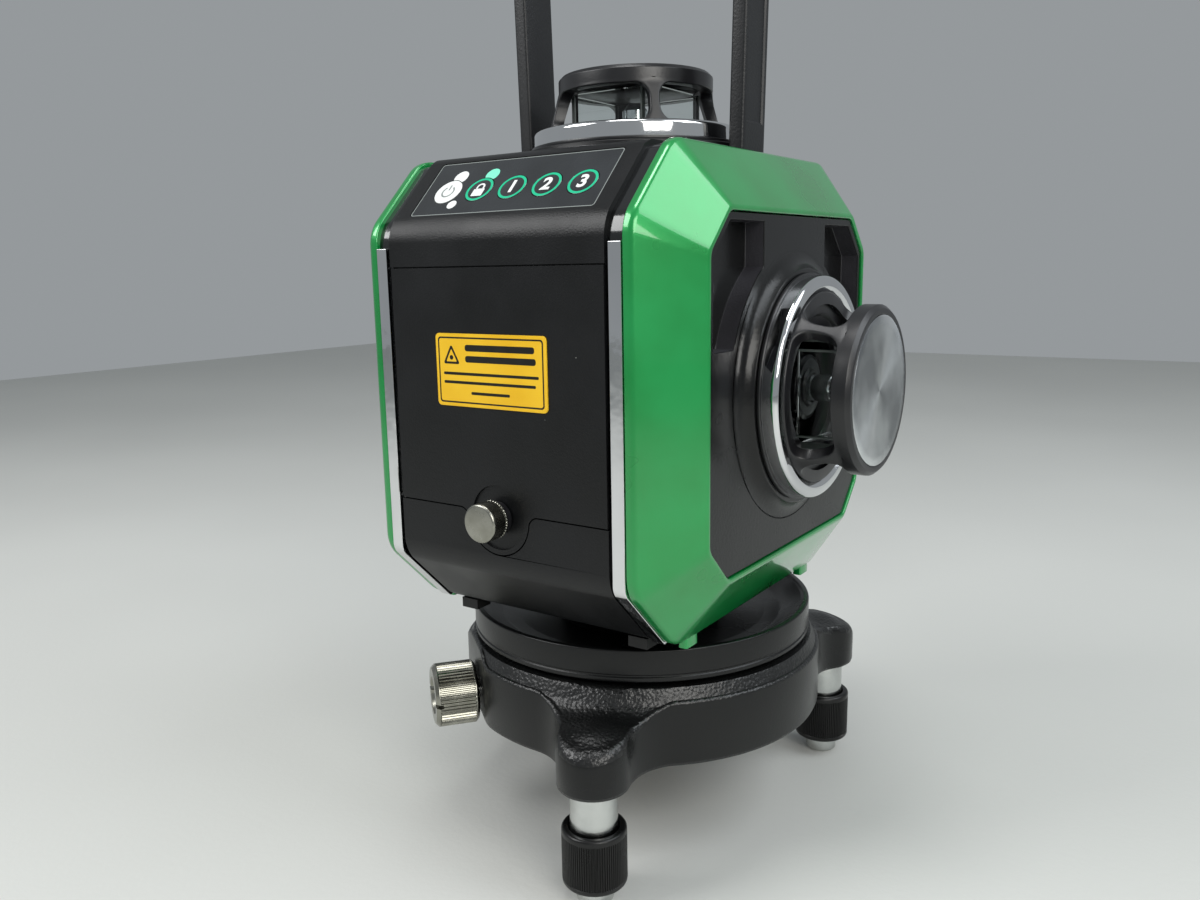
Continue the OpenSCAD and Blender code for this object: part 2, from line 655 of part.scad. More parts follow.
// ---- keys ----
module control_overlay() color("#101214") on_slope() difference() {
    translate([0, key_s + 1.2, -1]) linear_extrude(overlay_t) round_rect(overlay_w, overlay_h, 1);
    for (i = [0:4]) translate([(i - 2) * key_pitch + key_shift, key_s, -3])
        cylinder(r = key_r + key_gap, h = 9);
}
module key(i) key_spot(i) rod(key_r, -3.4, -0.15);
module key_power() color("#f4f4f4") key(0);
module key_lock() color("#16181a") key(1);
module key_1() color("#16181a") key(2);
module key_2() color("#16181a") key(3);
module key_3() color("#16181a") key(4);
module circuit_boards() color("#1d6b3a") {
    on_slope() translate([-28, key_s - 7, -3.4 - key_travel - 0.4 - 1.2]) cube([56, 14, 1.2]);
    translate([-30, bay_y + 2.4, bay_z0 - 16]) cube([60, 1.6, bay_z1 - bay_z0 + 10]);
}

// ---- handle ----
arm_hx = handle_x + handle_t / 2;
arm_rise = arm_splay * handle_rise;
module handle() color("#202122") difference() {
    along_y(-handle_w / 2, handle_w / 2) difference() {
        polygon(concat([[-arm_hx, arm_z0], [-arm_hx, body_top]],
            arc(-arm_hx - arm_rise + handle_corner, arm_top - handle_corner, handle_corner, 180, 90, 8),
            arc(arm_hx + arm_rise - handle_corner, arm_top - handle_corner, handle_corner, 90, 0, 8),
            [[arm_hx, body_top], [arm_hx, arm_z0]]));
        polygon(concat([[-arm_hx + handle_t, arm_z0 - 1], [-arm_hx + handle_t, body_top]],
            arc(-arm_hx - arm_rise + handle_corner, arm_top - handle_corner - grip_t + handle_t,
                handle_corner - handle_t, 180, 90, 8),
            arc(arm_hx + arm_rise - handle_corner, arm_top - handle_corner - grip_t + handle_t,
                handle_corner - handle_t, 90, 0, 8),
            [[arm_hx - handle_t, body_top], [arm_hx - handle_t, arm_z0 - 1]]));
    }
    for (s = [-1, 1]) {
        mirror([s < 0 ? 1 : 0, 0, 0]) translate([arm_hx - 0.5, -handle_w / 2 + 2, body_top + 8])
            rotate([0, atan(arm_splay), 0]) cube([2, handle_w - 4, handle_rise - 8 - handle_corner - 6]);
        for (z = arm_screw_z) translate([0, 0, z]) rotate([0, s * 90, 0])
            rod(1.5, handle_x - handle_t, handle_x + handle_t);
    }
}

// ---- line heads ----
module bezel(i) color("#d9dcde") at_head(i) rotate_extrude() polygon([[cage_r, flange_z + flange_t],
    [bezel_r, flange_z + flange_t], [bezel_r, bezel_top - 1.2], [bezel_r - 0.5, bezel_top - 0.4],
    [bezel_r - 1.3, bezel_top], [bezel_r - 2.9, bezel_top], [cage_r + 0.4, bezel_top - 0.8],
    [cage_r, bezel_top - 1.4]]);
module top_bezel() bezel(0);
module side_bezel() bezel(1);
module front_bezel() bezel(2);
module cage(i) color("#161718") at_head(i) difference() {
    rotate_extrude() polygon([[cage_r - 2.3, -2], [cage_r, -2], [cage_r, flange_z],
        [bezel_r + 0.7, flange_z], [bezel_r + 0.7, flange_z + flange_t], [cage_r, flange_z + flange_t],
        [cage_r, bezel_top - 0.4], [cap_r, cap_z], [cap_r, cap_z + cap_t - 1.2],
        [cap_r - 1.2, cap_z + cap_t], [disc_r, cap_z + cap_t], [disc_r, cap_z + cap_t - 0.9],
        [0, cap_z + cap_t - 0.9], [0, cap_z - 1.6], [2, cap_z - 1.6],
        [glass_r - glass_t - 0.5, cap_z - 0.2], [glass_r - glass_t - 0.5, cap_z + 0.5],
        [glass_r, cap_z + 0.5], [cage_r - 3, bezel_top - 1.2],
        [glass_r, bezel_top - 1.2], [glass_r, bezel_top - 2], [glass_r - glass_t - 1, bezel_top - 2],
        [glass_r - glass_t - 1, bezel_top - 4], [cage_r - 2.3, bezel_top - 4]]);
    for (k = [0:3]) rotate(90 * k) translate([0, 0, bezel_top - 0.2]) linear_extrude(window_h - 0.4)
        polygon([for (p = [[glass_r - 0.4, -1], [big / 8, -1], [big / 8, 1], [glass_r - 0.4, 1]])
            p[0] * [cos(45 - rib_half), p[1] * sin(45 - rib_half)]]);
}
module top_cage() cage(0);
module side_cage() cage(1);
module front_cage() cage(2);
module cap_discs() color("#c4c8ca") for (i = [0:2]) at_head(i) rotate_extrude()
    polygon([[0, cap_z + cap_t - 0.9], [disc_r, cap_z + cap_t - 0.9], [disc_r, cap_z + cap_t],
        [disc_r - 0.4, cap_z + cap_t + 0.3], [0, cap_z + cap_t + 0.3]]);
module head_windows() color("#cfe8e2", 0.4) for (i = [0:2]) at_head(i)
    tube(glass_r, glass_r - glass_t, bezel_top - 2, cap_z + 0.5);

// ---- pendulum ----
side_reach = panel_x + barrel_end;
front_reach = body_back + barrel_end;
side_weight = 9.93;
front_weight = 11.25;
module chassis() color("#8e9498") difference() {
    union() {
        translate([-face_hw + 2.2, plate_y0, plate_z])
            cube([2 * face_hw - 4.4, plate_y1 - plate_y0, plate_t]);
        for (x = [-post_x - post_t, post_x]) translate([x, -post_hw, plate_z + 1])
            cube([post_t, 2 * post_hw, pivot_z + 6 - plate_z]);
    }
    translate([0, side_y, head_z]) rotate([0, 90, 0]) rod(barrel_r + swing_room, 0, big);
    translate([0, 0, pivot_z]) rotate([0, 90, 0]) rod(pin_r + run_gap, -big / 2, big / 2);
    rod(beam_r + 3, body_z0, magnet_z + 1);
    screw_places(0) rod(1.5, 0, 20);
}
module gimbal_ring() color("#a9aeb2") translate([0, 0, pivot_z]) difference() {
    union() {
        tube(ring_out, ring_in, -3, 3);
        for (s = [0, 180]) rotate([0, 0, s]) rotate([0, 90, 0])
            rod(pin_r, ring_in + 2, post_x + post_t - 0.5);
    }
    rotate([90, 0, 0]) rod(pin_r + run_gap, -big / 2, big / 2);
}
module pendulum() color("#9aa0a4") difference() {
    union() {
        translate([-block_w / 2, -block_w / 2, block_z0]) cube([block_w, block_w, pivot_z - 7 - block_z0]);
        rod(top_barrel_r + 2.6, pivot_z - 8, pivot_z + 6);
        translate([0, 0, pivot_z]) for (s = [90, -90]) rotate([s, 0, 0])
            rod(pin_r, top_barrel_r + 1, ring_out - 0.5);
        translate([0, side_y, head_z]) rotate([0, 90, 0]) rod(barrel_r + 2, 0, block_w / 2 + 8);
        translate([0, 0, head_z]) rotate([-90, 0, 0]) rod(barrel_r + 2, 0, block_w / 2 + 8);
        translate([-15, -15, block_z0 - 2.5]) cube([30, 30, 3]);
    }
    translate([0, side_y, head_z]) rotate([0, 90, 0]) rod(barrel_r, block_w / 2 - 3, big);
    translate([0, 0, head_z]) rotate([-90, 0, 0]) rod(barrel_r, block_w / 2 - 3, big);
    rod(top_barrel_r, pivot_z - 12, big);
    rod(4, block_z0 - 4, block_z0 + 12);
}
module balance_weights() color("#b08a3c") difference() {
    union() {
        translate([-block_w / 2 - side_weight, -13, head_z - 22]) cube([side_weight, 26, 44]);
        translate([-13, -block_w / 2 - front_weight, head_z - 22]) cube([26, front_weight, 44]);
    }
    translate([0, side_y, head_z]) rotate([0, 90, 0]) rod(barrel_r + 2.2, 0, big);
    translate([0, 0, head_z]) rotate([-90, 0, 0]) rod(barrel_r + 2.2, 0, big);
}
module laser_modules() color("#17181a") {
    translate([0, side_y, head_z]) rotate([0, 90, 0]) rod(barrel_r, block_w / 2 - 3, side_reach);
    translate([0, 0, head_z]) rotate([-90, 0, 0]) rod(barrel_r, block_w / 2 - 3, front_reach);
    rod(top_barrel_r, pivot_z - 12, body_top + barrel_end);
    rod(4, block_z0 - 5, block_z0 + 12);
}
module prism(len) {
    rod(3.7, barrel_end, barrel_end + len - 2);
    translate([0, 0, barrel_end + len - 2]) cylinder(r1 = 3.7, r2 = 2, h = 2);
}
module cone_prisms() color("#dff0ee", 0.5) {
    at_head(0) prism(11);
    at_head(1) prism(8);
    at_head(2) prism(8);
}
module damping_magnet() color("#6d7276") tube(14, beam_r + 3.5, magnet_z, magnet_z + 6);

base_casting();
tripod_bush();
spindle_bush();
thrust_washer();
leg_sleeves();
knob_bush();
foot_knob(0);  // foot_knob_1
foot_knob(1);  // foot_knob_2
foot_knob(2);  // foot_knob_3
foot_spindle(0);  // foot_spindle_1
foot_spindle(1);  // foot_spindle_2
foot_spindle(2);  // foot_spindle_3
foot_pad(0);  // foot_pad_1
foot_pad(1);  // foot_pad_2
foot_pad(2);  // foot_pad_3
fine_knob();
fine_shaft();
drive_roller();
turntable_disc();
turntable_spindle();
spindle_nut();
rear_shell();
front_shell();
left_frame();
right_frame();
left_panel();
right_panel();
left_trim();
right_trim();
housing_feet();
housing_screws();
battery_cover();
label_plate();
cover_screw();
screw_retainer();
screw_insert();
battery_pack();
control_overlay();
key_power();
key_lock();
key_1();
key_2();
key_3();
circuit_boards();
handle();
top_bezel();
side_bezel();
front_bezel();
top_cage();
side_cage();
front_cage();
cap_discs();
head_windows();
chassis();
gimbal_ring();
pendulum();
balance_weights();
laser_modules();
cone_prisms();
damping_magnet();
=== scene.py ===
from math import acos, atan2, cos, exp, hypot, pi, radians, sin, sqrt, tan

import bmesh
import bpy
from mathutils import Matrix, Vector


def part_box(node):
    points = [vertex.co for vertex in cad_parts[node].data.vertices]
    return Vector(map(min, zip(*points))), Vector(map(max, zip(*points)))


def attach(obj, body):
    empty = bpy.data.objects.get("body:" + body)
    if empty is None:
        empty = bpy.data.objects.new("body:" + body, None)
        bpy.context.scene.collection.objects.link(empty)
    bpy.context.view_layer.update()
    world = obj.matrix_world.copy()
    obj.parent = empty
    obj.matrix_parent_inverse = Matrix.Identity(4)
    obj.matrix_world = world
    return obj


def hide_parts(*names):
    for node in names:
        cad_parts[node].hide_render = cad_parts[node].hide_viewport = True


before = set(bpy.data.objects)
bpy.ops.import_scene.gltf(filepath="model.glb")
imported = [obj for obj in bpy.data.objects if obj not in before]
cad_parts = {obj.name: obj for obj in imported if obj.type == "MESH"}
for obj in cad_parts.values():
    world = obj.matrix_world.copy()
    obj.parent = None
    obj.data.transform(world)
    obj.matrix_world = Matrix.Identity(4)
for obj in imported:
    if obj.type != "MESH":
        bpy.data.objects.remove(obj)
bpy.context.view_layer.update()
print("frame loaded")

mm = 0.001  # every shape below is written in millimetres, and made in metres


def boxOf(node):
    low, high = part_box(node)
    return low / mm, high / mm


headMiddle = sum(boxOf("side_bezel"), Vector()) / 2


# ---- colour and nodes


def toLinear(hexCode):
    steps = [int(hexCode[i:i + 2], 16) / 255 for i in (1, 3, 5)]
    return [v / 12.92 if v <= 0.04045 else ((v + 0.055) / 1.055) ** 2.4 for v in steps] + [1]


def addNode(material, kind, inputs=None, **settings):
    node = material.node_tree.nodes.new("ShaderNode" + kind)
    for name, value in settings.items():
        setattr(node, name, value)
    for socket, value in (inputs or {}).items():
        if isinstance(value, bpy.types.NodeSocket):
            material.node_tree.links.new(value, node.inputs[socket])
        else:
            node.inputs[socket].default_value = value
    return node


def newMaterial(name, inputs):
    material = bpy.data.materials.new(name)
    material.use_nodes = True
    shader = material.node_tree.nodes["Principled BSDF"]
    for socket, value in inputs.items():
        shader.inputs[socket].default_value = value
    return material, shader


def plug(material, shader, socket, value):
    material.node_tree.links.new(value, shader.inputs[socket])


# colours drift between two near shades over patches of driftMm, and the surface has a grain of grainMm
def weather(material, shader, dark, light, driftMm, grainMm, bump, roughness):
    place = addNode(material, "TexCoord")
    drift = addNode(material, "TexNoise", {"Vector": place.outputs["Object"], "Scale": 1 / (driftMm * mm),
        "Detail": 3.0})
    shade = addNode(material, "ValToRGB", {"Fac": drift.outputs["Fac"]})
    shade.color_ramp.elements[0].position = 0.35
    shade.color_ramp.elements[1].position = 0.65
    shade.color_ramp.elements[0].color = toLinear(dark)
    shade.color_ramp.elements[1].color = toLinear(light)
    plug(material, shader, "Base Color", shade.outputs["Color"])
    wear = addNode(material, "MapRange", {"Value": drift.outputs["Fac"], "From Min": 0.3, "From Max": 0.7,
        "To Min": roughness[0], "To Max": roughness[1]}, interpolation_type="SMOOTHSTEP")
    plug(material, shader, "Roughness", wear.outputs["Result"])
    grain = addNode(material, "TexNoise", {"Vector": place.outputs["Object"], "Scale": 1 / (grainMm * mm),
        "Detail": 2.0})
    raised = addNode(material, "Bump", {"Height": grain.outputs["Fac"], "Distance": grainMm * mm,
        "Strength": bump})
    plug(material, shader, "Normal", raised.outputs["Normal"])
    return place, raised


# a finish whose colour, roughness and grain all come from weather
def makeFinish(name, inputs, *look):
    material, shader = newMaterial(name, inputs)
    weather(material, shader, *look)
    return material


# lacquered ABS: a pearl green base coat under clear lacquer, so a sharp reflection floats over a soft glow
pearlLacquer = makeFinish("pearlLacquer", {"Metallic": 0.35, "Coat Weight": 1.0, "Coat Roughness": 0.05},
    "#008A3A", "#039848", 26, 0.7, 0.03, (0.26, 0.34))


# moulded ABS with a fine spark-eroded grain: satin black, soft wide reflections and a few specks of dust
def makeGrainedAbs():
    material, shader = newMaterial("grainedAbs", {"Specular IOR Level": 0.32})
    place, _ = weather(material, shader, "#0B0C0D", "#101113", 22, 0.45, 0.14, (0.34, 0.42))
    dust = addNode(material, "TexVoronoi", {"Vector": place.outputs["Object"], "Scale": 1 / (7 * mm)})
    speck = addNode(material, "Math", {0: dust.outputs["Distance"], 1: 0.022}, operation="LESS_THAN")
    shade = shader.inputs["Base Color"].links[0].from_socket
    dusty = addNode(material, "MixRGB", {"Fac": speck.outputs["Value"], "Color1": shade,
        "Color2": toLinear("#8D8F8C")})
    plug(material, shader, "Base Color", dusty.outputs["Color"])
    return material


# polished ABS in the trim groove: nearly a mirror, nearly black
polishedAbs = makeFinish("polishedAbs", {"Coat Weight": 0.5, "Coat Roughness": 0.04},
    "#0B0C0D", "#101213", 18, 0.9, 0.03, (0.10, 0.17))

# semi-gloss ABS of the side panels: dim clear reflections with light scuffs
panelAbs = makeFinish("panelAbs", {"Specular IOR Level": 0.36},
    "#0B0B0C", "#101111", 30, 1.1, 0.05, (0.2, 0.3))

# satin ABS of the cages and collars: grey sheen where it turns to the light
satinAbs = makeFinish("satinAbs", {"Specular IOR Level": 0.55},
    "#141416", "#1A1A1D", 14, 0.5, 0.05, (0.28, 0.36))

# the same ABS with a coarser grain and a drier sheen in the pockets' walls, its colour painted paler as a
# painted highlight where the walls turn to the light
litPocketWallAbs = makeFinish("litPocketWallAbs", {"Specular IOR Level": 0.6},
    "#29282C", "#343338", 16, 0.6, 0.15, (0.42, 0.52))

# chrome-plated ABS: bright mirror with a trace of waviness from the moulding
chromePlate = makeFinish("chromePlate", {"Metallic": 1.0}, "#D9DADC", "#E3E4E5", 30, 6, 0.015, (0.04, 0.08))


# spun aluminium: turning marks run round the centre, so light spreads into a bow tie; the base colour adds a
# painted bow-tie highlight, two darker and two lighter quarters round the centre
def makeSpunAluminium(axis):
    material, shader = newMaterial("spunAluminium" + axis, {"Metallic": 1.0, "Anisotropic": 0.9,
        "Roughness": 0.26})
    place = addNode(material, "TexCoord")
    split = addNode(material, "SeparateXYZ", {"Vector": place.outputs["Object"]})
    centre = {"X": (headMiddle.y, headMiddle.z), "Y": (0, headMiddle.z), "Z": (0, 0)}[axis]
    across = [addNode(material, "Math", {0: split.outputs[name], 1: value * mm}, operation="SUBTRACT")
        for name, value in zip([n for n in "XYZ" if n != axis], centre)]
    turn = addNode(material, "Math", {0: across[1].outputs["Value"], 1: across[0].outputs["Value"]},
        operation="ARCTAN2")
    wave = addNode(material, "Math", {0: turn.outputs["Value"], 1: 2.0, 2: -2.1}, operation="MULTIPLY_ADD")
    # the quarters in the base colour are a painted bow-tie highlight, mixed below with a random ripple of
    # tone
    quarter = addNode(material, "Math", {0: wave.outputs["Value"]}, operation="COSINE")
    ripple = addNode(material, "TexNoise", {"Vector": place.outputs["Object"], "Scale": 1 / (9 * mm)})
    paintedBowTieAndRipple = addNode(material, "Math", {0: quarter.outputs["Value"], 1: 0.42, 2: ripple.outputs["Fac"]},
        operation="MULTIPLY_ADD")
    shade = addNode(material, "ValToRGB", {"Fac": paintedBowTieAndRipple.outputs["Value"]})
    shade.color_ramp.elements[0].position = 0.1
    shade.color_ramp.elements[1].position = 0.9
    shade.color_ramp.elements[0].color = toLinear("#8C8F92")
    shade.color_ramp.elements[1].color = toLinear("#E2E5E6")
    plug(material, shader, "Base Color", shade.outputs["Color"])
    marks = addNode(material, "Tangent", direction_type="RADIAL", axis=axis)
    plug(material, shader, "Tangent", marks.outputs["Tangent"])
    return material


# cast aluminium under wrinkle paint: pebbled black skin, each pebble 0.85 mm across
def makeWrinklePaint():
    material, shader = newMaterial("wrinklePaint", {"Specular IOR Level": 0.6})
    place, raised = weather(material, shader, "#090A0A", "#0F1010", 16, 0.5, 0.15, (0.30, 0.40))
    pebble = addNode(material, "TexVoronoi", {"Vector": place.outputs["Object"], "Scale": 1 / (0.85 * mm)},
        feature="SMOOTH_F1")
    skin = addNode(material, "Bump", {"Height": pebble.outputs["Distance"], "Distance": 0.22 * mm,
        "Strength": 0.85, "Normal": raised.outputs["Normal"]}, invert=True)
    plug(material, shader, "Normal", skin.outputs["Normal"])
    return material


# smooth stoving enamel on turned and cast metal: even satin black
stovingEnamel = makeFinish("stovingEnamel", {"Specular IOR Level": 0.36},
    "#08090A", "#0D0E0E", 20, 0.6, 0.06, (0.26, 0.34))

# powder coat on the handle: dry grey-black with a fine orange-peel
powderCoat = makeFinish("powderCoat", {"Specular IOR Level": 0.4},
    "#151618", "#1B1C1E", 24, 0.6, 0.12, (0.38, 0.46))


# turned and polished steel: rings left by the tool, spaced a quarter of a millimetre
def makeTurnedSteel():
    material, shader = newMaterial("turnedSteel", {"Metallic": 1.0})
    place, raised = weather(material, shader, "#B8BAB8", "#CED0CE", 8, 0.8, 0.02, (0.14, 0.24))
    rings = addNode(material, "TexWave", {"Vector": place.outputs["Object"], "Scale": 1 / (0.25 * mm * 20),
        "Distortion": 0.6}, bands_direction="Z")
    tool = addNode(material, "Bump", {"Height": rings.outputs["Fac"], "Distance": 0.02 * mm, "Strength": 0.5,
        "Normal": raised.outputs["Normal"]})
    plug(material, shader, "Normal", tool.outputs["Normal"])
    return material


# nickel plate over knurled brass: warm grey metal, dulled between the ridges
nickelPlate = makeFinish("nickelPlate", {"Metallic": 1.0}, "#8B8A80", "#A3A299", 6, 0.6, 0.01, (0.2, 0.3))

# moulded phenolic of the foot knobs: deep black, slightly glossy on the edges
phenolic = makeFinish("phenolic", {"Specular IOR Level": 0.4},
    "#0A0A0A", "#111111", 10, 0.5, 0.06, (0.26, 0.36))


# polished float glass with an anti-reflection coat, which is why its index is set below that of plain glass
def makeFloatGlass():
    material, shader = newMaterial("floatGlass", {"Transmission Weight": 1.0, "IOR": 1.3, "Roughness": 0.01})
    place = addNode(material, "TexCoord")
    film = addNode(material, "TexNoise", {"Vector": place.outputs["Object"], "Scale": 1 / (12 * mm)})
    shade = addNode(material, "ValToRGB", {"Fac": film.outputs["Fac"]})
    shade.color_ramp.elements[0].color = toLinear("#F2F8F6")
    shade.color_ramp.elements[1].color = toLinear("#FBFDFD")
    plug(material, shader, "Base Color", shade.outputs["Color"])
    return material


# silvered glass of the beam cones: mirror bright under a clear skin
silveredGlass = makeFinish("silveredGlass", {"Metallic": 0.9, "Coat Weight": 1.0, "Coat Roughness": 0.02},
    "#C9CED0", "#E4E8E9", 4, 0.8, 0.01, (0.05, 0.12))

# ground glass on the edges of the panes, blackened so that it throws no stray light
groundGlass = makeFinish("groundGlass", {"Transmission Weight": 0.35, "IOR": 1.5},
    "#4A524F", "#626B67", 5, 0.25, 0.2, (0.35, 0.5))

# vinyl label stock: warm yellow, slightly glossy
yellowVinyl = makeFinish("yellowVinyl", {"Coat Weight": 0.2, "Coat Roughness": 0.2},
    "#EDB80F", "#F4C31C", 12, 0.5, 0.04, (0.3, 0.38))


# screen-printing ink: flat colour with a slight edge sheen
def makeInk(name, hexCode):
    return makeFinish(name, {"Specular IOR Level": 0.4}, hexCode, hexCode, 3, 0.3, 0.05, (0.32, 0.42))


# polyester key film: hard gloss over black print, with fine scratches
def makeKeyFilm():
    material, shader = newMaterial("keyFilm", {"Coat Weight": 0.8, "Coat Roughness": 0.08})
    place, raised = weather(material, shader, "#101316", "#181C20", 14, 0.8, 0.06, (0.2, 0.3))
    stretch = addNode(material, "Mapping", {"Vector": place.outputs["Object"], "Scale": (1.0, 0.16, 0.16)})
    scratch = addNode(material, "TexNoise", {"Vector": stretch.outputs["Vector"], "Scale": 1 / (0.3 * mm),
        "Detail": 1.0})
    marks = addNode(material, "Bump", {"Height": scratch.outputs["Fac"], "Distance": 0.05 * mm,
        "Strength": 0.12, "Normal": raised.outputs["Normal"]})
    plug(material, shader, "Normal", marks.outputs["Normal"])
    return material


# plain machined or moulded stock for the inside
def makeStock(name, dark, light, metallic, roughness):
    return makeFinish(name, {"Metallic": metallic}, dark, light, 8, 0.4, 0.08, (roughness, roughness + 0.1))


grainedAbs = makeGrainedAbs()
spunAluminium = {axis: makeSpunAluminium(axis) for axis in "XYZ"}
wrinklePaint = makeWrinklePaint()
turnedSteel = makeTurnedSteel()
floatGlass = makeFloatGlass()
blackInk = makeInk("blackInk", "#14130C")
whiteInk = makeInk("whiteInk", "#E9ECEA")
greenInk = makeInk("greenInk", "#17B98A")
mintInk = makeInk("mintInk", "#7FE3C4")
greyInk = makeInk("greyInk", "#8C9290")
keyFilm = makeKeyFilm()
rubber = makeStock("nitrileRubber", "#0D0D0D", "#141414", 0.0, 0.6)
brass = makeStock("turnedBrass", "#A8853C", "#BE9A4C", 1.0, 0.28)
nylon = makeStock("castNylon", "#D8D7CE", "#E4E3DB", 0.0, 0.45)
alloy = makeStock("milledAluminium", "#9EA3A6", "#B4B8BA", 1.0, 0.34)
anodised = makeStock("anodisedBlack", "#0C0C0E", "#131316", 0.3, 0.3)
solderMask = makeStock("solderMask", "#0F4A2A", "#15603A", 0.0, 0.3)
cellWrap = makeStock("cellWrap", "#23282E", "#2D333A", 0.0, 0.4)
ferrite = makeStock("sinteredMagnet", "#55585B", "#66696C", 0.8, 0.45)
print("materials made")


# ---- shapes


def polar(radius, angle, height):
    return Vector((radius * cos(angle), radius * sin(angle), height))


def link(piece):
    bpy.context.scene.collection.objects.link(piece)
    return piece


# solids is a list of (points, faces) pairs, joined in one object
def makeObject(name, solids, material, smooth=32):
    shape = bmesh.new()
    for points, faces in solids:
        corners = [shape.verts.new(Vector(p) * mm) for p in points]
        for face in faces:
            shape.faces.new([corners[i] for i in face])
    bmesh.ops.remove_doubles(shape, verts=shape.verts, dist=0.0005 * mm)
    bmesh.ops.dissolve_degenerate(shape, edges=shape.edges, dist=0.0002 * mm)
    bmesh.ops.recalc_face_normals(shape, faces=shape.faces)
    mesh = bpy.data.meshes.new(name)
    shape.to_mesh(mesh)
    shape.free()
    mesh.materials.append(material)
    piece = link(bpy.data.objects.new(name, mesh))
    shadeByAngle(piece, smooth)
    return piece


def shadeByAngle(piece, degrees):
    piece.data.shade_smooth()
    piece.data.set_sharp_from_angle(angle=radians(degrees))


# joins rings of equal length into a skin
def skin(rings, closed=True, loop=False, capped=True):
    count = len(rings[0])
    points = [p for ring in rings for p in ring]
    rows = len(rings)
    faces = []
    for i in range(rows if loop else rows - 1):
        a, b = i * count, (i + 1) % rows * count
        for j in range(count if closed else count - 1):
            k = (j + 1) % count
            faces.append((a + j, a + k, b + k, b + j))
    if capped and not loop:
        faces.append(tuple(range(count)))
        faces.append(tuple((rows - 1) * count + j for j in range(count)))
    return points, faces


# rounds the corners of a polygon or a polyline; each corner becomes steps + 1 points
def roundCorners(points, radii, steps=4, closed=True):
    points = [Vector(p) for p in points]
    count = len(points)
    radii = radii if hasattr(radii, "__len__") else [radii] * count
    line = []
    for i, corner in enumerate(points):
        if not closed and i in (0, count - 1) or radii[i] == 0:
            line.append(corner)
            continue
        before, after = points[i - 1] - corner, points[(i + 1) % count] - corner
        half = before.angle(after) / 2
        reach = min(radii[i] / tan(half), 0.49 * before.length, 0.49 * after.length)
        radius = reach * tan(half)
        centre = corner + (before.normalized() + after.normalized()).normalized() * radius / sin(half)
        start = corner + before.normalized() * reach - centre
        end = corner + after.normalized() * reach - centre
        turn = pi - 2 * half
        for k in range(steps + 1):
            w = k / steps
            line.append(centre + (start * sin((1 - w) * turn) + end * sin(w * turn)) / sin(turn))
    return line


# a profile of (radius, height) turned round local Z; the rows listed in ridged are cut into ridges
def lathe(profile, place=None, segments=96, loop=True, ridges=0, ridgeDepth=0.0, ridged=()):
    place = place or Matrix.Identity(4)
    perRidge = 4
    count = ridges * perRidge if ridges else segments
    rings = []
    for i, (r, z) in enumerate(profile):
        ring = []
        for j in range(count):
            cut = ridgeDepth if i in ridged and j % perRidge in (0, 1) else 0
            a = 2 * pi * j / count
            ring.append(place @ polar(r - cut, a, z))
        rings.append(ring)
    return skin(rings, loop=loop, capped=False)


# turns a profile whose face of radius r carries a knurl from z0 to z1
def knurledTurning(side, r, z0, z1, place, spec):
    runOut = 0.2
    first = next(i for i, p in enumerate(side) if abs(p[0] - r) < 1e-6)
    side[first + 1:first + 1] = [(r, z0), (r, z0 + runOut), (r, z1 - runOut), (r, z1)]
    return lathe(side, place, ridges=spec["ridges"], ridgeDepth=spec["ridgeDepth"],
        ridged=(first + 2, first + 3))


# a flat outline of (x, y) raised from z0 to z1 in the local frame, its upper edge eased
def plate(outline, z0, z1, place=None, ease=0.0):
    place = place or Matrix.Identity(4)
    outline = [Vector(p[:2]) for p in outline]
    centre = sum(outline, Vector((0, 0))) / len(outline)
    rings = [[(p, z0) for p in outline], [(p, z1 - ease) for p in outline]]
    if ease:
        rings.append([(p + (centre - p).normalized() * ease, z1) for p in outline])
    return skin([[place @ Vector((p.x, p.y, z)) for p, z in ring] for ring in rings])


def rectangle(width, height, radius=0.0, steps=4, centre=(0, 0)):
    w, h = width / 2, height / 2
    corners = [(centre[0] + x * w, centre[1] + y * h) for x, y in ((-1, -1), (1, -1), (1, 1), (-1, 1))]
    return roundCorners(corners, radius, steps) if radius else [Vector(c) for c in corners]


# a ring-shaped outline pair raised as one closed band
def band(outer, inner, z0, z1, place=None):
    place = place or Matrix.Identity(4)
    rings = [[place @ Vector((p[0], p[1], z)) for p in line]
        for line, z in ((outer, z0), (outer, z1), (inner, z1), (inner, z0))]
    return skin(rings, loop=True)


def circle(radius, centre=(0, 0), steps=48, start=0.0, end=2 * pi):
    closed = abs(end - start - 2 * pi) < 1e-6
    return [Vector((centre[0] + radius * cos(start + (end - start) * k / steps),
        centre[1] + radius * sin(start + (end - start) * k / steps)))
        for k in range(steps if closed else steps + 1)]


def applied(piece):
    bpy.context.view_layer.update()
    settled = piece.evaluated_get(bpy.context.evaluated_depsgraph_get())
    mesh = bpy.data.meshes.new_from_object(settled)
    piece.modifiers.clear()
    piece.data = mesh
    return piece


# flat faces stay flat beside their rounded edges
def evenNormals(piece, degrees):
    shadeByAngle(piece, degrees)
    even = piece.modifiers.new("even", "WEIGHTED_NORMAL")
    even.keep_sharp, even.weight = True, 80
    return applied(piece)


def cutAway(piece, cutters):
    for cutter in cutters:
        cut = piece.modifiers.new("cut", "BOOLEAN")
        cut.object, cut.operation, cut.solver = cutter, "DIFFERENCE", "EXACT"
    applied(piece)
    for cutter in cutters:
        bpy.data.objects.remove(cutter)
    return piece


def easeEdges(piece, width, segments=2, angle=34):
    ease = piece.modifiers.new("ease", "BEVEL")
    ease.width, ease.segments, ease.limit_method = width * mm, segments, "ANGLE"
    ease.angle_limit = radians(angle)
    applied(piece)
    return piece


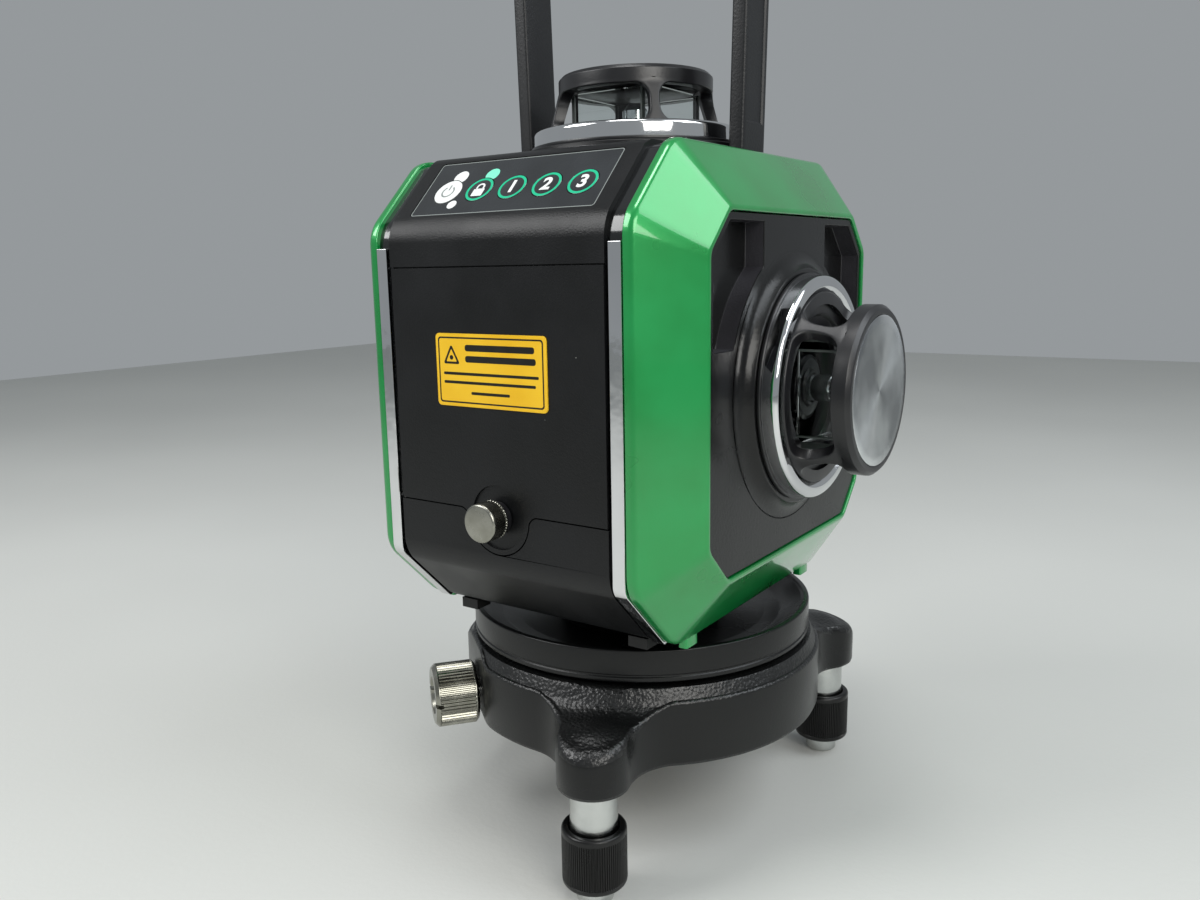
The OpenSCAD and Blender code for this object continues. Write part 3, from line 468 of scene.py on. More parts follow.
# the frame's own shape under a new name, with flat faces joined and chosen folds rounded
def shapeOf(node, name, material, folds=(), ease=0.2, smooth=32):
    piece = link(bpy.data.objects.new(name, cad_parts[node].data.copy()))
    shape = bmesh.new()
    shape.from_mesh(piece.data)
    bmesh.ops.remove_doubles(shape, verts=shape.verts, dist=0.002 * mm)
    bmesh.ops.dissolve_limit(shape, angle_limit=radians(0.4), verts=shape.verts, edges=shape.edges)
    for chosen, width, segments in folds:
        edges = [e for e in shape.edges if chosen((e.verts[0].co + e.verts[1].co) / 2 / mm,
            (e.verts[1].co - e.verts[0].co) / mm)]
        bmesh.ops.bevel(shape, geom=edges, offset=width * mm, segments=segments, profile=0.5,
            affect="EDGES", clamp_overlap=True)
    shape.to_mesh(piece.data)
    shape.free()
    piece.data.materials.clear()
    piece.data.materials.append(material)
    if ease:
        easeEdges(piece, ease)
    return evenNormals(piece, smooth)


# gives the faces that chosen picks by centre and normal a second material
def finishFaces(piece, material, chosen):
    piece.data.materials.append(material)
    index = len(piece.data.materials) - 1
    for face in piece.data.polygons:
        if chosen(face.center / mm, face.normal):
            face.material_index = index


def fit(piece, body, slotName, *replaced):
    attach(piece, body)
    if replaced:
        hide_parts(*replaced)
    return piece


# ---- camera, light and floor

camera = {"lens": 29.65, "shift": (0.0064, 0.0039), "place": (166.3, -263.05, 141.07),
    "yaw": 0.612, "pitch": 0.189, "roll": -0.019}


def makeCamera(spec):
    yaw, pitch, roll = spec["yaw"], spec["pitch"], spec["roll"]
    ahead = Vector((-sin(yaw) * cos(pitch), cos(yaw) * cos(pitch), -sin(pitch)))
    level = Vector((cos(yaw), sin(yaw), 0))
    upright = level.cross(ahead)
    right = level * cos(roll) + upright * sin(roll)
    up = upright * cos(roll) - level * sin(roll)
    lens = bpy.data.cameras.new("camera")
    lens.lens, lens.sensor_width = spec["lens"], 36
    lens.shift_x, lens.shift_y = spec["shift"]
    lens.clip_start, lens.clip_end = 0.02, 20
    eye = link(bpy.data.objects.new("camera", lens))
    turn = Matrix((right, up, -ahead)).transposed().to_4x4()
    eye.matrix_world = Matrix.Translation(Vector(spec["place"]) * mm) @ turn
    bpy.context.scene.camera = eye


makeCamera(camera)

studio = {"floorHalf": 1600, "floor": "#D0D1CD", "sky": "#DCE2E6", "skyStrength": 0.42,
    "lamps": [  # place in mm, size in mm, watts, colour
    ((-480, -560, 660), 440, 4.2, "#FFFFFF"),
    ((640, 190, 780), 620, 4.2, "#F4FAFF"),
    ((620, -420, 460), 420, 3.0, "#FFFDF8"),
    ((-30, -120, 1050), 300, 2.5, "#FFFFFF")]}


def makeStudio(spec):
    ground = boxOf("foot_pad_1")[0].z
    half = spec["floorHalf"]
    stone, shader = newMaterial("paleFloor", {"Specular IOR Level": 0.3})
    weather(stone, shader, "#CBCCC8", spec["floor"], 400, 2.0, 0.05, (0.55, 0.65))
    corners = [(x * half, y * half, ground) for x, y in ((-1, -1), (1, -1), (1, 1), (-1, 1))]
    makeObject("floor", [(corners, [(0, 1, 2, 3)])], stone)
    aim = Vector((0, 0, 100))
    for i, (place, size, watts, colour) in enumerate(spec["lamps"]):
        lamp = bpy.data.lights.new("lamp%d" % i, "AREA")
        lamp.shape, lamp.size, lamp.energy = "SQUARE", size * mm, watts
        lamp.color = toLinear(colour)[:3]
        holder = link(bpy.data.objects.new("lamp%d" % i, lamp))
        holder.location = Vector(place) * mm
        holder.rotation_euler = (aim - Vector(place)).to_track_quat("-Z", "Y").to_euler()
    world = bpy.data.worlds.new("studio")
    world.use_nodes = True
    air = world.node_tree.nodes["Background"]
    air.inputs["Color"].default_value = toLinear(spec["sky"])
    air.inputs["Strength"].default_value = spec["skyStrength"]
    bpy.context.scene.world = world
    bpy.context.scene.view_settings.view_transform = "Standard"


makeStudio(studio)
print("camera and studio made")

# ---- base casting: rim, three arms and leg bosses in one casting

legs = [(boxOf("foot_pad_%d" % k)[0] + boxOf("foot_pad_%d" % k)[1]) / 2 for k in (1, 2, 3)]
legAngle = atan2(legs[0].y, legs[0].x)
legRadius = hypot(legs[0].x, legs[0].y)
knobMiddle = (boxOf("fine_knob")[0] + boxOf("fine_knob")[1]) / 2
knobAngle = atan2(knobMiddle.y, knobMiddle.x)
legPlaces = [Matrix.Translation((leg.x, leg.y, 0)) for leg in legs]
shaftPlace = Matrix.Translation((0, 0, knobMiddle.z)) @ Matrix.Rotation(knobAngle, 4, "Z") @ \
    Matrix.Rotation(pi / 2, 4, "Y")  # local Z runs out along the fine drive's shaft
casting = {"rim": 57.5, "boss": 10.0, "fillet": 16.0, "flat": 55.3, "bottom": 3.5, "top": 26.0, "inner": 54.0,
    "trough": 48.0, "troughFloor": 4.5, "hub": 20.0, "hubTop": 24.7, "bore": 13.0, "boreTop": 14.0,
    "bearing": 11.0, "rimEase": 1.1, "noseEase": 4.6, "sleeve": 6.6, "sleeveTop": 13.0, "crown": 1.6,
    "shaft": 5.0, "lip": 51, "crownWidth": 7.0,
    "slope": [(0, 26.0), (54.9, 26.0), (56.9, 21.8), (59, 19.8), (61.5, 18.9), (64.5, 18.6), (68, 18.2),
    (71, 17.3), (74, 15.9), (90, 8.0)]}  # height of the upper side over the radius


def castingOutline(spec):
    rim, boss, fillet = spec["rim"], spec["boss"], spec["fillet"]
    far, near = rim + fillet, boss + fillet
    bend = acos((legRadius ** 2 + far ** 2 - near ** 2) / (2 * legRadius * far))
    centre = Vector((cos(bend), sin(bend))) * far
    leg = Vector((legRadius, 0))
    bossEnd = atan2(centre.y, centre.x - legRadius)
    filletStart = atan2(-centre.y, legRadius - centre.x)
    filletEnd = bend - pi
    half = circle(boss, leg, 12, 0, bossEnd)
    half += circle(fillet, centre, 12, filletStart, filletEnd)[1:]
    half += circle(rim, (0, 0), 16, bend, pi / 3)[1:]
    outline = []
    for k in range(3):
        turn = Matrix.Rotation(legAngle + k * 2 * pi / 3, 2)
        outline += [turn @ Vector((p.x, -p.y)) for p in reversed(half[1:])] + [turn @ p for p in half[:-1]]
    for p in outline:
        off = cos(atan2(p.y, p.x) - knobAngle)
        if off > 0.9 and p.length * off > spec["flat"]:
            p *= spec["flat"] / off / p.length
    return outline


def castingHeight(spec, x, y):
    r = hypot(x, y)
    for (r0, z0), (r1, z1) in zip(spec["slope"], spec["slope"][1:]):
        if r <= r1:
            height = z0 + (z1 - z0) * (r - r0) / (r1 - r0)
            break
    near = min(hypot(x - leg.x, y - leg.y) for leg in legs)
    return height + spec["crown"] * exp(-(near / spec["crownWidth"]) ** 2)


def makeCasting(spec):
    outline = castingOutline(spec)
    reach = [p.length for p in outline]
    angles = [atan2(p.y, p.x) for p in outline]
    at = lambda radius, height: [polar(radius, a, height) for a in angles]
    rings = [at(spec["bore"], 0), at(spec["bore"], spec["boreTop"]), at(spec["bearing"], spec["boreTop"]),
        at(spec["bearing"], spec["hubTop"]), at(spec["hub"] - 1, spec["hubTop"]),
        at(spec["hub"], spec["hubTop"] - 1), at(spec["hub"], spec["troughFloor"]),
        at(spec["trough"], spec["troughFloor"]), at(spec["trough"], spec["top"] - 0.8),
        at(spec["trough"] + 0.8, spec["top"]), at(spec["lip"], spec["top"])]
    rim, nose = spec["rimEase"], spec["noseEase"]
    ease = [rim + (nose - rim) * min(max((r - 58) / 10, 0), 1) for r in reach]
    across = 14
    for i in range(across + 1):
        ring = []
        for j, a in enumerate(angles):
            r = spec["inner"] + (reach[j] - ease[j] - spec["inner"]) * i / across
            ring.append(polar(r, a, castingHeight(spec, r * cos(a), r * sin(a))))
        rings.append(ring)
    rounds, edge = 6, rings[-1]
    for i in range(1, rounds + 1):
        lean = pi / 2 * i / rounds
        ring = []
        for j, a in enumerate(angles):
            r = reach[j] - ease[j] * (1 - sin(lean))
            ring.append(polar(r, a, edge[j].z - ease[j] * (1 - cos(lean))))
        rings.append(ring)
    low = spec["bottom"]
    for inset, height in ((0, low + 1.2), (0.35, low + 0.35), (1.2, low)):
        rings.append([polar(r - inset, a, height) for r, a in zip(reach, angles)])
    rings += [at(spec["trough"] + 2, low), at(spec["trough"] + 2, 0.5), at(spec["hub"] + 1, 0.5),
        at(spec["hub"], 0)]
    piece = makeObject("baseCasting", [skin(rings, loop=True)], wrinklePaint, 40)
    bores = [makeObject("bore", [lathe([(0, -9), (spec["sleeve"], -9), (spec["sleeve"], spec["sleeveTop"]),
        (0, spec["sleeveTop"])], place, 64)], stovingEnamel) for place in legPlaces]
    bores.append(makeObject("bore", [lathe([(0, 40), (spec["shaft"], 40), (spec["shaft"], 70), (0, 70)],
        shaftPlace, 48)], stovingEnamel))
    cutAway(piece, bores)
    shadeByAngle(piece, 40)
    finishFaces(piece, stovingEnamel, lambda centre, normal: abs(normal.z) < 0.2 or normal.z < -0.5)
    return fit(piece, "base", "base_paint", "base_casting")


makeCasting(casting)

# ---- legs: fixed sleeve, knurled knob, spindle and pad

leg = {"sleeveLow": -15.0, "sleeveTop": 13.0, "sleeve": 6.6, "bore": 4.0, "knob": 9.0, "knobLow": -24.5,
    "knobTop": -8.0, "recess": 7.0, "recessLow": -20.0, "thread": 3.95, "ridges": 84, "ridgeDepth": 0.28,
    "padHeight": 5.1, "pin": 2.0}


def makeLegs(spec):
    tube = roundCorners([(spec["bore"], spec["sleeveLow"]), (spec["sleeve"], spec["sleeveLow"]),
        (spec["sleeve"], spec["sleeveTop"]), (spec["bore"], spec["sleeveTop"])], 0.4, 3)
    sleeves = [lathe(tube, place, 72) for place in legPlaces]
    fit(makeObject("legSleeves", sleeves, turnedSteel), "base", "steel", "leg_sleeves")
    low, top, r = spec["knobLow"], spec["knobTop"], spec["knob"]
    recess, floor, thread = spec["recess"], spec["recessLow"], spec["thread"]
    side = roundCorners([(thread, low), (r, low), (r, top), (recess + 0.2, top), (recess, top - 1),
        (recess, floor), (thread, floor)], [0, 1.0, 1.3, 0.3, 0, 0, 0], 4)
    for k, place in enumerate(legPlaces, 1):
        knob = knurledTurning(side[:], r, low + 1.5, top - 1.8, place, spec)
        fit(makeObject("footKnob%d" % k, [knob], phenolic, 28), "foot_screw_%d" % k, "knob_black",
            "foot_knob_%d" % k)
        padLow, padHigh = boxOf("foot_pad_%d" % k)
        z0, padRadius, pin = padLow.z, (padHigh.x - padLow.x) / 2, spec["pin"]
        z1 = z0 + spec["padHeight"]
        foot = roundCorners([(0, z0), (padRadius, z0), (padRadius, z1), (pin + 0.6, z1), (pin, z1 + 0.4),
            (pin, padHigh.z), (0, padHigh.z)], [0, 1.1, 1.2, 0.4, 0, 0.3, 0], 4)
        fit(makeObject("footPad%d" % k, [lathe(foot, place, 64)], turnedSteel), "foot_%d" % k, "steel",
            "foot_pad_%d" % k)


makeLegs(leg)

# ---- fine-motion knob

fine = {"radius": 9.8, "seat": 55.8, "length": 13.5, "ridges": 56, "ridgeDepth": 0.36, "slot": 1.3,
    "shaft": 2.5, "dish": 6.0}


def makeFineKnob(spec):
    r, z0, z1 = spec["radius"], spec["seat"], spec["seat"] + spec["length"]
    side = roundCorners([(spec["shaft"], z0), (r - 0.9, z0), (r, z0 + 0.9), (r, z1 - 1.1), (r - 1.1, z1),
        (spec["dish"], z1), (spec["dish"] - 0.8, z1 - 1.2), (spec["shaft"], z1 - 1.2)],
        [0, 0.3, 0, 0, 0.3, 0.3, 0.3, 0], 3)
    turned = knurledTurning(side, r, z0 + 1.1, z1 - 1.3, shaftPlace, spec)
    knob = makeObject("fineKnob", [turned], nickelPlate, 28)
    slot = makeObject("slot", [plate(rectangle(spec["slot"], 40), z1 - 2.2, z1 + 3, shaftPlace)], nickelPlate)
    cutAway(knob, [slot])
    shadeByAngle(knob, 28)
    fit(knob, "fine_drive", "nickel", "fine_knob")


makeFineKnob(fine)

# ---- turntable

table = {"radius": 54.1, "low": 27.2, "band": 9.5, "dish": 31.2, "pedestal": 26.0, "bore": 9.0, "rim": 1.6,
    "skirtIn": 38.0, "skirtOut": 42.0, "skirtLow": 13.2, "groove": 0.35}


def makeTurntable(spec):
    r, z0 = spec["radius"], spec["low"]
    z1, seat = z0 + spec["band"], boxOf("turntable_disc")[1].z
    side = roundCorners([(spec["bore"], z0), (spec["skirtIn"], z0), (spec["skirtIn"], spec["skirtLow"]),
        (spec["skirtOut"], spec["skirtLow"]), (spec["skirtOut"], z0), (r, z0), (r, z0 + 1.4),
        (r - spec["groove"], z0 + 1.7), (r - spec["groove"], z0 + 2.1), (r, z0 + 2.4), (r, z1),
        (r - spec["rim"], z1), (r - 2.4, z1 - 0.9), (r - 9, spec["dish"] + 0.6), (r - 14, spec["dish"]),
        (spec["pedestal"] + 2.2, spec["dish"]), (spec["pedestal"], spec["dish"] + 2.2),
        (spec["pedestal"], seat), (spec["bore"], seat)],
        [0, 0, 0.3, 0.3, 0, 0.6, 0.1, 0.1, 0.1, 0.1, 0.45, 0.4, 0.8, 3, 3, 1, 1, 0.4, 0], 4)
    disc = lathe(side, segments=160)
    fit(makeObject("turntable", [disc], stovingEnamel), "head", "table_paint", "turntable_disc")


makeTurntable(table)
print("base, legs and turntable made")

# ---- side frames

sides = ((1, "right"), (-1, "left"))
frameLow, frameHigh = boxOf("right_frame")
body = {"front": frameLow.y, "back": frameHigh.y, "top": frameHigh.z, "low": frameHigh.z - 129.0,
    "chamfer": 19.5, "groove": 1.3, "face": 35.2}
opening = {"front": -53.7, "back": 46.5, "low": 60.9, "top": 153.6, "chamfer": 10.0}
sideFrame = {"back": 40.0, "rim": 42.7, "crest": frameHigh.x, "lip": 1.2, "corner": 10.0, "cornerIn": 4.5,
    "wall": 2.4, "bevelRun": 15.3, "nub": (6.0, 2.8, 2.0)}


def octagon(plan, inset):
    y0, y1, z0, z1 = plan["front"] + inset, plan["back"] - inset, plan["low"] + inset, plan["top"] - inset
    q = plan["chamfer"] - inset * (2 - sqrt(2))
    return [Vector(p) for p in ((y0 + q, z0), (y1 - q, z0), (y1, z0 + q), (y1, z1 - q), (y1 - q, z1),
        (y0 + q, z1), (y0, z1 - q), (y0, z0 + q))]


def makeSideFrame(side, hand, spec):
    run = spec["bevelRun"]
    profile = roundCorners([(0, spec["back"]), (0, spec["rim"]), (run, spec["crest"]),
        (run + spec["lip"], spec["crest"]), (run + spec["lip"], spec["crest"] - 5),
        (run - 0.8, spec["crest"] - 5), (spec["wall"], spec["rim"] - 0.8),
        (spec["wall"], spec["back"])], [0.5, 2.2, 1.2, 0.5, 0, 0, 0, 0], 6)
    outer, crest, inner = octagon(body, 0), octagon(opening, -spec["lip"]), octagon(opening, 0)
    rings = []
    for d, x in profile:
        if d <= run:
            w = d / run
            corners = [a.lerp(b, w) for a, b in zip(outer, crest)]
        else:
            w = (d - run) / spec["lip"]
            corners = [a.lerp(b, w) for a, b in zip(crest, inner)]
        radius = spec["corner"] + (spec["cornerIn"] - spec["corner"]) * min(d / run, 1)
        rings.append([Vector((side * x, p.x, p.y)) for p in roundCorners(corners, radius, 9)])
    solids = [skin(rings, loop=True)]
    length, deep, tall = spec["nub"]
    for y in (body["front"] + body["chamfer"] + 8, body["back"] - body["chamfer"] - 8):
        outline = rectangle(deep, length, 0.7, 3, (side * (spec["back"] + 0.4 + deep / 2), y))
        solids.append(plate(outline, body["low"] + 1, body["low"] - tall))
    fit(makeObject(hand + "Frame", solids, pearlLacquer, 30), "head", "frame_green", hand + "_frame")


for side, hand in sides:
    makeSideFrame(side, hand, sideFrame)

# ---- side panels, with their two corner pockets

panelFace = frameHigh.x - 0.7
panel = {"pocketReach": 38.1, "pocketShade": 0.25}


def makePanel(side, hand):
    piece = shapeOf(hand + "_panel", hand + "Panel", panelAbs, ease=0.35)

    def paintedLitPocketWall(centre, normal):
        sunk = side * centre.x < panelFace - panel["pocketShade"]
        away = hypot(centre.y - headMiddle.y, centre.z - headMiddle.z) > panel["pocketReach"]
        return sunk and away and abs(normal.x) < 0.6

    # the pockets' walls take the paler copy of the ABS, a painted highlight where they turn to the light
    finishFaces(piece, litPocketWallAbs, paintedLitPocketWall)
    fit(piece, "head", "panel_black", hand + "_panel")


for side, hand in sides:
    makePanel(side, hand)

# ---- shells

shell = {"fold": 4.0, "topFold": 2.1, "foldSteps": 7, "ease": 0.22}


def foldAt(plan, inset, corners):
    wanted = [octagon(plan, inset)[i] for i in corners]

    def chosen(middle, along):
        if abs(along.x) < 0.98 * along.length or along.length < 1.0:
            return False
        return any(abs(middle.y - p.x) < 0.05 and abs(middle.z - p.y) < 0.05 for p in wanted)
    return chosen


def makeShell(node, name, corners, topCorner):
    folds = []
    for inset in (0, body["groove"]):
        folds.append((foldAt(body, inset, corners), shell["fold"], shell["foldSteps"]))
        folds.append((foldAt(body, inset, [topCorner]), shell["topFold"], shell["foldSteps"]))
    piece = shapeOf(node, name, grainedAbs, folds, shell["ease"])
    finishFaces(piece, polishedAbs, lambda centre, normal: abs(centre.x) > body["face"] + 0.3
        and abs(normal.x) < 0.5)
    return fit(piece, "head", "shell_black", node)


makeShell("rear_shell", "rearShell", (0, 7, 6), 5)
makeShell("front_shell", "frontShell", (1, 2, 3), 4)
print("housing made")

# ---- bright trims


def makeTrim(hand):
    folds = [(foldAt(body, inset, (0, 7)), 2.0 if inset < 0 else 1.4, 6) for inset in (-0.3, body["groove"])]
    fit(shapeOf(hand + "_trim", hand + "Trim", chromePlate, folds, 0.55), "head", "chrome", hand + "_trim")


for side, hand in sides:
    makeTrim(hand)

# ---- battery cover, label and cover screw

fit(shapeOf("battery_cover", "batteryCover", grainedAbs, ease=0.22), "cover", "shell_black", "battery_cover")

labelLow, labelHigh = boxOf("label_plate")
label = {"corner": 1.2, "margin": 0.9, "line": 0.42, "ink": 0.03, "dot": (0.62, (-13.0, 3.3)),
    "triangle": [(-15.9, 1.6), (-10.1, 1.6), (-13.0, 6.8)],
    "triangleInside": [(-14.9, 2.2), (-11.1, 2.2), (-13.0, 5.6)],
    "bars": [(-8.2, 14.8, 5.9, 1.7), (-8.2, 15.2, 3.0, 1.7), (-15.9, 16.0, -0.9, 0.75),
    (-15.9, 15.0, -3.2, 0.75), (-6.5, 6.5, -5.9, 0.75)]}  # from x, to x, height, thickness


def makeLabel(spec):
    middle = (labelLow + labelHigh) / 2
    width, height = labelHigh.x - labelLow.x, labelHigh.z - labelLow.z
    face = Matrix.Translation((middle.x, labelHigh.y, middle.z)) @ Matrix.Rotation(pi / 2, 4, "X")
    thick = labelHigh.y - labelLow.y
    base = plate(rectangle(width, height, spec["corner"], 6), 0, thick, face, 0.08)
    fit(makeObject("labelPlate", [base], yellowVinyl), "cover", "label", "label_plate")
    top = thick - 0.005
    raised = top + spec["ink"]
    out, back = 2 * spec["margin"], 2 * spec["margin"] + 2 * spec["line"]
    marks = [band(rectangle(width - out, height - out, 0.9, 6),
        rectangle(width - back, height - back, 0.65, 6), top, raised, face),
        band(roundCorners(spec["triangle"], 0.4), roundCorners(spec["triangleInside"], 0.2), top, raised,
        face), plate(circle(*spec["dot"], 24), top, raised, face)]
    for x0, x1, y, t in spec["bars"]:
        marks.append(plate(rectangle(x1 - x0, t, t * 0.4, 4, ((x0 + x1) / 2, y)), top, raised, face))
    fit(makeObject("labelPrint", marks, blackInk), "cover", "label")


makeLabel(label)

screwMiddle = (boxOf("cover_screw")[0] + boxOf("cover_screw")[1]) / 2
coverScrew = {"head": 5.2, "length": 6.0, "stand": 1.8, "collar": 4.2, "ridges": 40, "ridgeDepth": 0.26,
    "shank": 1.5}


def makeCoverScrew(spec):
    face = -body["front"]
    place = Matrix.Translation((0, 0, screwMiddle.z)) @ Matrix.Rotation(pi / 2, 4, "X")
    z0, r = face + spec["stand"], spec["head"]
    z1 = z0 + spec["length"]
    deep = -boxOf("cover_screw")[1].y
    side = roundCorners([(0, z0 - 0.5), (spec["collar"], z0 - 0.5), (spec["collar"], z0), (r, z0), (r, z1),
        (0, z1)], [0, 0, 0, 0.5, 0.7, 0], 4)
    head = knurledTurning(side, r, z0 + 0.7, z1 - 0.9, place, spec)
    shank = lathe([(0, deep), (spec["shank"] - 0.4, deep), (spec["shank"], deep + 0.4), (spec["shank"], z0),
        (0, z0)], place, 40)
    screw = makeObject("coverScrew", [head, shank], nickelPlate, 28)
    fit(screw, "screw", "nickel", "cover_screw")
    collar = lathe([(spec["shank"] + 0.1, face - 0.3), (spec["collar"] + 0.2, face - 0.3),
        (spec["collar"] + 0.2, z0 - 0.4), (spec["collar"] - 0.1, z0 - 0.1),
        (spec["shank"] + 0.1, z0 - 0.1)], place, 64)
    fit(makeObject("screwCollar", [collar], satinAbs), "screw", "nickel")


makeCoverScrew(coverScrew)
print("cover, label and screw made")

# ---- keys and their printed film

slopeFoot = (0, body["front"], body["top"] - body["chamfer"])
slopeFace = Matrix.Translation(slopeFoot) @ Matrix.Rotation(pi / 4, 4, "X")
keys = {"pitch": 11.1, "shift": 0.5, "along": 13.65, "radius": 4.3, "top": -0.15, "low": -3.4, "ring": 0.72,
    "film": (60.4, 20.4), "filmMiddle": 14.85, "filmTop": -0.2, "filmLow": -1.0, "room": 0.12, "ink": 0.03,
    "digitSize": 6.0, "digitBold": 0.19, "digitThick": 0.02}
keyNames = ("power", "lock", "1", "2", "3")


def stroke(points, width):
    left, right = [], []
    for i, p in enumerate(points):
        ahead = (points[min(i + 1, len(points) - 1)] - points[max(i - 1, 0)]).normalized()
        across = Vector((-ahead.y, ahead.x)) * width / 2
        left.append(p + across)
        right.append(p - across)
    return left + right[::-1]


def makeDigit(digit, place, spec):
    name = "digit" + digit
    drawing = bpy.data.curves.new(name, "FONT")
    drawing.body, drawing.size, drawing.extrude = digit, spec["digitSize"], spec["digitThick"]
    drawing.align_x, drawing.align_y = "CENTER", "CENTER"
    drawing.offset = spec["digitBold"]
    holder = link(bpy.data.objects.new(name, drawing))
    bpy.context.view_layer.update()
    mesh = bpy.data.meshes.new_from_object(holder.evaluated_get(bpy.context.evaluated_depsgraph_get()))
    bpy.data.objects.remove(holder)
    mesh.transform(place @ Matrix.Translation((0, 0, spec["top"] + spec["digitThick"])))
    mesh.transform(Matrix.Scale(mm, 4))
    mesh.materials.clear()
    mesh.materials.append(whiteInk)
    return link(bpy.data.objects.new(name, mesh))


# a printed lobe that hugs the round key beside it
def lobeBeside(key, room, size, offset):
    line = []
    for p in circle(size, (key.x + offset[0], key.y + offset[1]), 40):
        away = p - key
        line.append(p if away.length > room else key + away.normalized() * room)
    return line


def makeFilm(spec):
    width, height = spec["film"]
    film = makeObject("keyFilm", [plate(rectangle(width, height, 1.0, 6, (0, spec["filmMiddle"])),
        spec["filmLow"], spec["filmTop"], slopeFace)], keyFilm)
    holes = []
    for i in range(5):
        x = (i - 2) * spec["pitch"] + spec["shift"]
        holes.append(makeObject("hole", [plate(circle(spec["radius"] + spec["room"], (x, spec["along"]), 72),
            -3, 3, slopeFace)], keyFilm))
    cutAway(film, holes)
    easeEdges(film, 0.07, 1)
    evenNormals(film, 32)
    fit(film, "head", "panel_black", "control_overlay")
    top, inked = spec["filmTop"] - 0.01, spec["filmTop"] + spec["ink"]
    x = -2 * spec["pitch"] + spec["shift"]
    power, lock = Vector((x, spec["along"])), Vector((x + spec["pitch"], spec["along"]))
    reach = spec["radius"] + spec["room"] + 0.1
    lobe = lambda key, size, dx, dy: plate(lobeBeside(key, reach, size, (dx, dy)), top, inked, slopeFace)
    prints = {"whiteNub": (whiteInk, [lobe(power, 2.35, 1.5, 5.5), lobe(power, 1.5, 4.4, -5.2)]),
        "mintNub": (mintInk, [lobe(lock, 2.2, 1.4, 5.6)])}
    # a thin grey band round the film's edge is a painted highlight, the catch-light on the rim of the film's
    # recess
    edge = band(rectangle(width - 0.2, height - 0.2, 0.9, 6, (0, spec["filmMiddle"])),
        rectangle(width - 0.7, height - 0.7, 0.7, 6, (0, spec["filmMiddle"])), top, inked, slopeFace)
    prints["filmEdge"] = (greyInk, [edge])
    for name, (ink, marks) in prints.items():
        fit(makeObject(name, marks, ink), "head", "panel_black")


def makeKey(i, keyName, spec):
    x, y, r = (i - 2) * spec["pitch"] + spec["shift"], spec["along"], spec["radius"]
    at = slopeFace @ Matrix.Translation((x, y, 0))
    side = roundCorners([(0, spec["low"]), (r, spec["low"]), (r, spec["top"]), (0, spec["top"])],
        [0, 0, 0.12, 0], 3)
    cap = makeObject("keyCap" + keyName.capitalize(), [lathe(side, at, 72)],
        whiteInk if keyName == "power" else keyFilm)
    fit(cap, "key_" + keyName, "key_white" if keyName == "power" else "key_black", "key_" + keyName)
    top, inked = spec["top"] - 0.01, spec["top"] + spec["ink"]
    if keyName == "power":
        arc = stroke(circle(1.9, (0, 0), 28, radians(125), radians(415)), 0.5)
        bar = rectangle(0.5, 2.0, 0.2, 3, (0, 1.5))
        marks = [plate(arc, top, inked, at), plate(bar, top, inked, at)]
        fit(makeObject("powerSign", marks, greyInk), "key_power", "key_white")
        return
    ring = band(circle(r - 0.1, steps=72), circle(r - 0.1 - spec["ring"], steps=72), top, inked, at)
    fit(makeObject("keyRing" + keyName.capitalize(), [ring], greenInk), "key_" + keyName, "key_black")
    if keyName == "lock":
        shackle = stroke([Vector((-1.1, 0)), Vector((-1.1, 0.9))] + circle(1.1, (0, 0.9), 12, pi, 0)
            + [Vector((1.1, 0))], 0.55)
        box = rectangle(3.6, 2.7, 0.3, 3, (0, -1.1))
        fit(makeObject("lockSign", [plate(shackle, top, inked, at), plate(box, top, inked, at)], whiteInk),
            "key_lock", "key_black")
        return
    fit(makeDigit(keyName, at, spec), "key_" + keyName, "key_black")


makeFilm(keys)
for i, keyName in enumerate(keyNames):
    makeKey(i, keyName, keys)
print("keys made")

# ---- handle

handleLow, handleHigh = boxOf("handle")
handle = {"arm": 4.6, "grip": 8.0, "corner": 15.0, "splay": 2.66, "ease": 0.9, "recess": 0.5, "land": 2.0,
    "turnAt": body["top"]}


def makeHandle(spec):
    top, low, half = handleHigh.z, handleLow.z, handleHigh.y
    reach = handleHigh.x
    foot = reach - spec["splay"]
    corner, innerCorner = spec["corner"], spec["corner"] - spec["arm"]
    innerTop = top - corner - spec["grip"] + spec["arm"]
    stations = []  # outer point, inner point, recess depth
    rise = lambda z: spec["splay"] * max(z - spec["turnAt"], 0) / (top - corner - spec["turnAt"])
    z0, z1 = spec["turnAt"] + 8, top - corner - 6
    for z, deep in ((low, 0), (spec["turnAt"], 0), (z0, 0), (z0 + 0.6, spec["recess"]), (z1, spec["recess"]),
            (z1 + 0.6, 0)):
        stations.append(((foot + rise(z), z), (foot + rise(z) - spec["arm"], z), deep))
    for k in range(11):
        a = pi / 2 * k / 10
        stations.append(((reach - corner + corner * cos(a), top - corner + corner * sin(a)),
            (reach - corner + innerCorner * cos(a), innerTop + innerCorner * sin(a)), 0))
    stations += [((-o[0], o[1]), (-i[0], i[1]), d) for o, i, d in reversed(stations)]
    rings = []
    for outer, inner, deep in stations:
        outer, inner = Vector((outer[0], 0, outer[1])), Vector((inner[0], 0, inner[1]))
        thick = (outer - inner).length
        across = (outer - inner).normalized()
        land = half - spec["land"]
        floor, ease = thick - deep, spec["ease"]
        section = roundCorners([(0, -half), (0, half), (thick, half), (thick, land), (floor, land - 0.3),
            (floor, 0.3 - land), (thick, -land), (thick, -half)], [ease, ease, ease, 0, 0, 0, 0, ease], 4)
        rings.append([inner + across * p.x + Vector((0, p.y, 0)) for p in section])
    fit(makeObject("handle", [skin(rings)], powderCoat, 28), "head", "handle_black", "handle")


makeHandle(handle)
print("handle made")

# ---- line heads: collar, bright bezel, cage with four ribs, spun cap, glass and laser barrel

